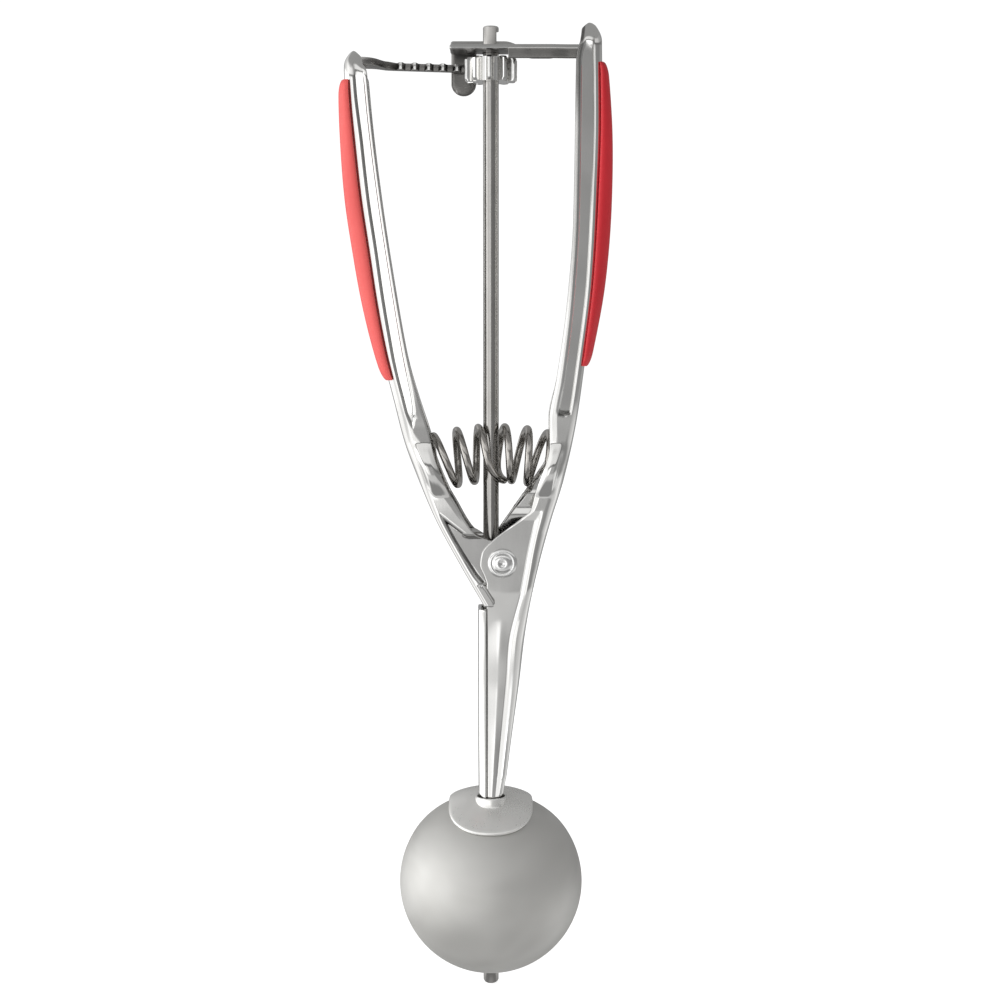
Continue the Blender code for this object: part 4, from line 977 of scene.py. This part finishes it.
# ---------------------------------------------------------------- bowl end
def bowl(mat):
    ro, ri = BOWL_R, BOWL_R - BOWL_WALL
    n = 64
    a_out = math.acos(-MOUTH_OFFSET / ro)
    a_in = math.acos(-MOUTH_OFFSET / ri)
    cut = 0.012
    prof = [(ro * math.sin((a_out - cut) * k / n), -ro * math.cos((a_out - cut) * k / n)) for k in range(n + 1)]
    rim_r = (ro * math.sin(a_out) + ri * math.sin(a_in)) / 2
    half = (ro * math.sin(a_out) - ri * math.sin(a_in)) / 2
    for k in range(1, 8):
        a = math.pi * k / 8
        prof.append((rim_r + half * math.cos(a), MOUTH_OFFSET - 0.02 + 0.25 * math.sin(a)))
    prof += [(ri * math.sin((a_in - cut) * k / n), -ri * math.cos((a_in - cut) * k / n)) for k in range(n, -1, -1)]
    prof[0] = (0.0, -ro)
    prof[-1] = (0.0, -ri)
    fr = bowl_frame() @ Matrix.Rotation(math.radians(-90), 4, "X")
    ob = turned("bowl_shell", prof, mat, 144, fr, sharp=40)
    for prof in ([(0, 15), (BOWL_TOP_HOLE_R, 15), (BOWL_TOP_HOLE_R, 24), (0, 24)], [(0, -24), (BOWL_PIN_HOLE_R, -24), (BOWL_PIN_HOLE_R, -15), (0, -15)]):
        v, f = turned_data(prof, 64, bowl_frame())
        boolean(ob, place("cutter", v, f, [], None), sharp=40)
    settle(ob, "frame", ["bowl"])
    return ob


def bowl_collar(mat):
    """Curved plate with a flared neck drawn up from it."""
    ri, ro = BOWL_R + COLLAR_GAP, COLLAR_R
    seg = 144
    fr = bowl_frame()

    def reach(phi):
        c, s = math.cos(phi), math.sin(phi)
        front = s < 0
        p = 2.2 if front else 6.0
        ax, ay = 9.75, (10.9 if front else 9.3)
        return (abs(c / ax) ** p + abs(s / ay) ** p) ** (-1 / p)

    # plate in polar rows about the bowl's axis; its edge is rounded
    rows = [0.30, 0.36, 0.44, 0.54, 0.64, 0.74, 0.84, 0.91, 0.955, 0.98, 0.993, 1.0]
    edge = [1, 1, 1, 1, 1, 1, 1, 1, 1.0, 0.82, 0.55, 0.25]
    verts, faces, outer, inner = [], [], [], []
    for f, e in zip(rows, edge):
        for ring, sgn in ((outer, 1), (inner, -1)):
            ids = []
            for q in range(seg):
                phi = 2 * math.pi * q / seg
                al = math.asin(min(0.95, reach(phi) / ro)) * f
                r = (ri + ro) / 2 + sgn * (ro - ri) / 2 * e
                ids.append(len(verts))
                verts.append(tuple(fr @ Vector((r * math.sin(al) * math.cos(phi), r * math.sin(al) * math.sin(phi), r * math.cos(al)))))
            ring.append(ids)
    for k in range(len(rows) - 1):
        for q in range(seg):
            q1 = (q + 1) % seg
            faces.append((outer[k][q], outer[k + 1][q], outer[k + 1][q1], outer[k][q1]))
            faces.append((inner[k][q1], inner[k + 1][q1], inner[k + 1][q], inner[k][q]))
    for q in range(seg):
        q1 = (q + 1) % seg
        faces.append((outer[-1][q], inner[-1][q], inner[-1][q1], outer[-1][q1]))
        faces.append((outer[0][q1], inner[0][q1], inner[0][q], outer[0][q]))
    ob = place("bowl_collar_plate", verts, faces, mat, None, sharp=40)
    # flared neck, its foot following the ball
    prof = [(3.1, 38.0), (5.6, 38.0), (5.3, 43.6), (4.7, 44.3), (4.25, 44.8), (3.95, 45.2), (3.75, 45.6), (3.64, 46.0), (3.6, 46.5),
            (3.6, 47.3), (3.55, 47.48), (3.42, 47.58), (3.3, 47.6), (3.18, 47.57), (3.1, 47.45)]
    v, f = turned_data(prof, 144)
    neck = place("neck", v, f, mat, None)
    rb = ri + 0.4
    bp = [(0.0, -rb)] + [(rb * math.sin(math.pi * k / 72), -rb * math.cos(math.pi * k / 72)) for k in range(1, 72)] + [(0.0, rb)]
    v, f = turned_data(bp, 144, fr)
    boolean(neck, place("cutter", v, f, [], None))
    boolean(ob, neck, "UNION", sharp=40)
    settle(ob, "frame", ["bowl_collar"])
    return ob


def sweep_blade(mat):
    ro, ri = BLADE_OUT_R, BLADE_OUT_R - BLADE_T
    fr = bowl_frame() @ Matrix.Rotation(math.radians(BLADE_REST_DEG), 4, "Z")
    n, m = 96, 12
    verts, faces, A, B = [], [], [], []
    for k in range(n + 1):
        psi = -math.radians(8.5) + (math.pi + 2 * math.radians(8.5)) * k / n
        w = 2.6 + 0.9 * math.sin(max(0.0, min(math.pi, psi)))
        fade = min(1.0, 0.3 + 0.7 * math.sqrt(min(1.0, min(k, n - k) / 2.0)))
        ra, rb = [], []
        for q in range(m + 1):
            s = math.sin(math.pi / 2 * (2.0 * q / m - 1))
            tt = w * s
            e = max(0.3, math.sqrt(max(0.0, 1 - max(0.0, (abs(s) - 0.93) / 0.07) ** 2))) * fade
            mid = (ro + ri) / 2
            for ring, sg in ((ra, 1), (rb, -1)):
                r = mid + sg * (ro - ri) / 2 * e
                c = math.sqrt(max(0.0, 1 - (tt / r) ** 2))
                ring.append(len(verts))
                verts.append(tuple(fr @ Vector((r * math.sin(psi) * c, tt, r * math.cos(psi) * c))))
        A.append(ra)
        B.append(rb)
    for k in range(n):
        for q in range(m):
            faces.append((A[k][q], A[k + 1][q], A[k + 1][q + 1], A[k][q + 1]))
            faces.append((B[k][q + 1], B[k + 1][q + 1], B[k + 1][q], B[k][q]))
        faces.append((A[k][0], B[k][0], B[k + 1][0], A[k + 1][0]))
        faces.append((A[k + 1][m], B[k + 1][m], B[k][m], A[k][m]))
    for q in range(m):
        faces.append((A[0][q], A[0][q + 1], B[0][q + 1], B[0][q]))
        faces.append((A[n][q + 1], A[n][q], B[n][q], B[n][q + 1]))
    ob = place("sweep_blade_strip", verts, faces, mat, None, sharp=40)
    boolean(ob, block((-1.15, -0.3, ri + 0.15), (1.15, 0.3, 22.9), fr), "UNION", sharp=40)
    v, f = turned_data([(0, -24), (BOWL_PIN_HOLE_R, -24), (BOWL_PIN_HOLE_R, -15), (0, -15)], 64, bowl_frame())
    boolean(ob, place("cutter", v, f, [], None), sharp=40)
    settle(ob, "blade", ["sweep_blade"])
    return ob


def blade_pivot_pin(mat):
    s = PIN_TIP_S
    prof = [(0, -s), (PIN_R - 0.3, -s), (PIN_R - 0.1, -s + 0.07), (PIN_R, -s + 0.28), (PIN_R, -24), (PIN_R, -21.5), (PIN_R, -18.9), (2.55, -18.9), (2.7, -18.78),
            (2.7, -18.35), (2.55, -18.1), (2.2, -17.93), (1.4, -17.84), (0, -17.8)]
    return turned("blade_pivot_pin_turned", prof, mat, 72, bowl_frame(), "blade", ["blade_pivot_pin"], sharp=35)


# ---------------------------------------------------------------- set and light
def ramp(t, value, stops, x=0):
    n = t.nodes.new("ShaderNodeValToRGB")
    n.color_ramp.interpolation = "EASE"
    e = n.color_ramp.elements
    e[0].position, e[0].color = stops[0][0], (stops[0][1],) * 3 + (1,)
    e[1].position, e[1].color = stops[-1][0], (stops[-1][1],) * 3 + (1,)
    for p, c in stops[1:-1]:
        q = e.new(p)
        q.color = (c, c, c, 1)
    t.links.new(value, n.inputs["Fac"])
    return n.outputs["Color"]


def studio():
    """A white tent: big soft box at the left, a dimmer right side and back, darker gap overhead."""
    w = bpy.data.worlds.new("studio")
    bpy.context.scene.world = w
    w.use_nodes = True
    t = w.node_tree
    bg = t.nodes["Background"]
    tc = t.nodes.new("ShaderNodeTexCoord")
    sep = t.nodes.new("ShaderNodeSeparateXYZ")
    t.links.new(tc.outputs["Generated"], sep.inputs[0])

    def m(op, a, b=None):
        n = t.nodes.new("ShaderNodeMath")
        n.operation = op
        for k, v in enumerate((a, b)):
            if v is None:
                continue
            if isinstance(v, (int, float)):
                n.inputs[k].default_value = v
            else:
                t.links.new(v, n.inputs[k])
        return n.outputs[0]

    def mix(f, a, b):
        n = t.nodes.new("ShaderNodeMix")
        n.data_type = "RGBA"
        t.links.new(f, n.inputs[0])
        for k, v in ((6, a), (7, b)):
            if isinstance(v, float):
                n.inputs[k].default_value = (v, v, v, 1)
            else:
                t.links.new(v, n.inputs[k])
        return n.outputs[2]

    az = m("ADD", m("DIVIDE", m("ARCTAN2", sep.outputs["X"], m("MULTIPLY", sep.outputs["Y"], -1.0)), 2 * math.pi), 0.5)
    el = m("ADD", m("DIVIDE", m("ARCSINE", sep.outputs["Z"]), math.pi), 0.5)
    k = 2.4

    def ring(stops):
        # stops in degrees, 0 in front, negative to the left
        return ramp(t, az, [(a / 360.0 + 0.5, v / k) for a, v in stops])

    def band(lo0, lo1, hi0, hi1):
        return m("MULTIPLY", ramp(t, el, [(0.0, 0.0), (lo0 / 180.0 + 0.5, 0.0), (lo1 / 180.0 + 0.5, 1.0), (1.0, 1.0)]),
                 ramp(t, el, [(0.0, 1.0), (hi0 / 180.0 + 0.5, 1.0), (hi1 / 180.0 + 0.5, 0.0), (1.0, 0.0)]))

    level = ring([(-180, 0.32), (-150, 0.34), (-132, 0.5), (-110, 1.3), (-60, 1.6), (-40, 1.2), (-14, 1.4), (-7, 1.9), (-4.5, 1.45), (-2.6, 0.76),
                  (0, 0.54), (3, 0.44), (8, 0.37), (30, 0.31), (60, 0.31), (85, 0.42), (100, 0.5), (120, 0.38), (150, 0.32), (180, 0.32)])
    dark_gap = ring([(-180, 0.3), (-130, 0.5), (-80, 0.7), (-40, 0.45), (-15, 0.28), (10, 0.2), (60, 0.2), (120, 0.25), (160, 0.3), (180, 0.3)])
    key = ring([(-180, 0.35), (-120, 0.8), (-60, 1.35), (0, 1.0), (40, 0.75), (90, 0.45), (140, 0.35), (180, 0.35)])
    belly = ring([(-180, 0.35), (-130, 0.6), (-95, 1.35), (-60, 1.3), (-45, 0.9), (-20, 0.8), (0, 0.72), (20, 0.62), (60, 0.75), (85, 0.9), (100, 1.15),
                  (120, 0.7), (150, 0.4), (180, 0.35)])

    def above(a, b):
        return ramp(t, el, [(0.0, 0.0), (a / 180.0 + 0.5, 0.0), (b / 180.0 + 0.5, 1.0), (1.0, 1.0)])

    def below(a, b):
        return ramp(t, el, [(0.0, 1.0), (a / 180.0 + 0.5, 1.0), (b / 180.0 + 0.5, 0.0), (1.0, 0.0)])

    c = mix(above(8.0, 11.0), level, dark_gap)
    box = m("MULTIPLY", ramp(t, az, [(0.0, 0.0), (-130 / 360 + 0.5, 0.0), (-118 / 360 + 0.5, 1.0), (-60 / 360 + 0.5, 1.0), (-48 / 360 + 0.5, 0.0), (1.0, 0.0)]),
            band(-22, -14, 12, 24))
    c = mix(box, c, 2.0 / k)
    c = mix(above(15.0, 20.0), c, key)
    c = mix(above(36.0, 46.0), c, 0.38 / k)
    c = mix(below(-21.0, -14.0), c, belly)
    c = mix(below(-46.0, -34.0), c, 0.30 / k)
    c = mix(below(-74.0, -62.0), c, 0.45 / k)
    lp = t.nodes.new("ShaderNodeLightPath")
    c = mix(lp.outputs["Is Camera Ray"], c, 1.06 / k)
    t.links.new(c, bg.inputs["Color"])
    bg.inputs["Strength"].default_value = k


def floor(mat):
    bm = bmesh.new()
    bmesh.ops.create_circle(bm, cap_ends=True, cap_tris=False, segments=96, radius=1.6)
    mesh = bpy.data.meshes.new("floor")
    bm.to_mesh(mesh)
    bm.free()
    ob = bpy.data.objects.new("floor", mesh)
    bpy.context.scene.collection.objects.link(ob)
    ob.location = (0, 0, -0.0002)
    mesh.materials.append(mat)
    # polished faces see the tent, not the table
    ob.visible_glossy = False
    return ob


def soft_light():
    """Large soft light from the left front."""
    data = bpy.data.lights.new("soft_left", "AREA")
    data.shape = "RECTANGLE"
    data.size, data.size_y = 0.5, 0.6
    data.energy = 3.2
    ob = bpy.data.objects.new("soft_left", data)
    bpy.context.scene.collection.objects.link(ob)
    ob.location = (-0.75, -0.35, 0.30)
    ob.rotation_euler = (Vector((0, 0, 0.12)) - ob.location).to_track_quat("-Z", "Y").to_euler()
    ob.visible_camera = False
    ob.visible_glossy = False


def camera():
    cam = bpy.data.cameras.new("camera")
    cam.lens = 69.73
    cam.sensor_width = 36.0
    cam.clip_start, cam.clip_end = 0.01, 20.0
    ob = bpy.data.objects.new("camera", cam)
    bpy.context.scene.collection.objects.link(ob)
    ob.location = (0.00202 + AT_X * MM, -0.4345026 + AT_Y * MM, 0.1522579)
    ob.rotation_euler = (math.radians(85.25), 0, 0)
    bpy.context.scene.camera = ob


def main():
    steel = metal("polished_steel_looks", (0.76, 0.755, 0.74), (0.69, 0.685, 0.67), 0.10, 0.05, (60, 60, 6), 0.03, 0.035, (0.86, 0.86, 0.85))
    rod_m = metal("rod_steel_looks", (0.46, 0.45, 0.435), (0.38, 0.37, 0.355), 0.20, 0.06, (12, 12, 90), 0.06, 0.02, (0.78, 0.77, 0.75))
    plated = metal("plated_steel_looks", (0.60, 0.595, 0.58), (0.48, 0.475, 0.46), 0.20, 0.08, (60, 60, 60), 0.08, 0.05, (0.76, 0.76, 0.75))
    gear_m = metal("pinion_steel_looks", (0.80, 0.795, 0.78), (0.70, 0.695, 0.68), 0.15, 0.06, (60, 60, 60), 0.06, 0.05, (0.88, 0.88, 0.87))
    # darker steel: sheared edges, and painted shade on the rack's toothed part and the bracket's tab, flange and
    # underside
    sheared_and_shaded = metal("sheared_edge_and_painted_shade_looks", (0.24, 0.235, 0.225), (0.15, 0.145, 0.14), 0.30, 0.10, (20, 20, 120), 0.15, 0.05, (0.50, 0.49, 0.48))
    spring_m = metal("spring_wire_looks", (0.50, 0.48, 0.455), (0.40, 0.385, 0.36), 0.18, 0.08, (90, 90, 90), 0.08, 0.02, (0.6, 0.58, 0.56))
    rivet_m = metal("rivet_steel_looks", (0.88, 0.88, 0.87), (0.80, 0.80, 0.79), 0.22, 0.10, (60, 60, 60), 0.10, 0.09, (0.93, 0.93, 0.93))
    collar_m = metal("collar_steel_looks", (0.92, 0.915, 0.89), (0.82, 0.815, 0.79), 0.30, 0.08, (60, 60, 60), 0.08, 0.10, (0.80, 0.80, 0.78))
    # the rubbed plate is duller than the handles
    collar_m.node_tree.nodes["Principled BSDF"].inputs["Metallic"].default_value = 0.75
    satin = satin_bowl()
    # one red in two copies: the deeper one is painted shade on the fixed cover, the paler one painted light on the
    # lever's cover
    red = red_cover("red_cover_painted_shade_looks", (0.44, 0.006, 0.014), (0.54, 0.010, 0.020))
    red_painted_light = red_cover("red_cover_painted_light_looks", (0.57, 0.062, 0.058), (0.65, 0.090, 0.082))

    fixed_handle(steel)
    squeeze_lever(steel)
    grip("fixed_grip_cover", 1, FIXED_WEB, FIXED_H, 145.4, 211.2, 33.0, red, "frame", "fixed_grip")
    grip("lever_grip_cover", -1, LEVER_WEB, LEVER_H, 142.3, 207.4, 22.0, red_painted_light, "lever", "lever_grip")
    rivet("rivet_front_formed", -1, rivet_m, "pivot_rivet_front")
    rivet("rivet_rear_formed", 1, rivet_m, "pivot_rivet_rear")
    drive_rod(rod_m)
    pinion_gear(gear_m)
    toothed_rack(plated, sheared_and_shaded)
    gear_bracket(plated, sheared_and_shaded)
    return_spring(spring_m)
    bowl(satin)
    bowl_collar(collar_m)
    sweep_blade(satin)
    blade_pivot_pin(rod_m)
    floor(pale_surface("pale_floor", (0.70, 0.70, 0.695), 0.80))
    soft_light()
    studio()
    camera()
    bpy.context.scene.view_settings.view_transform = "Standard"


main()
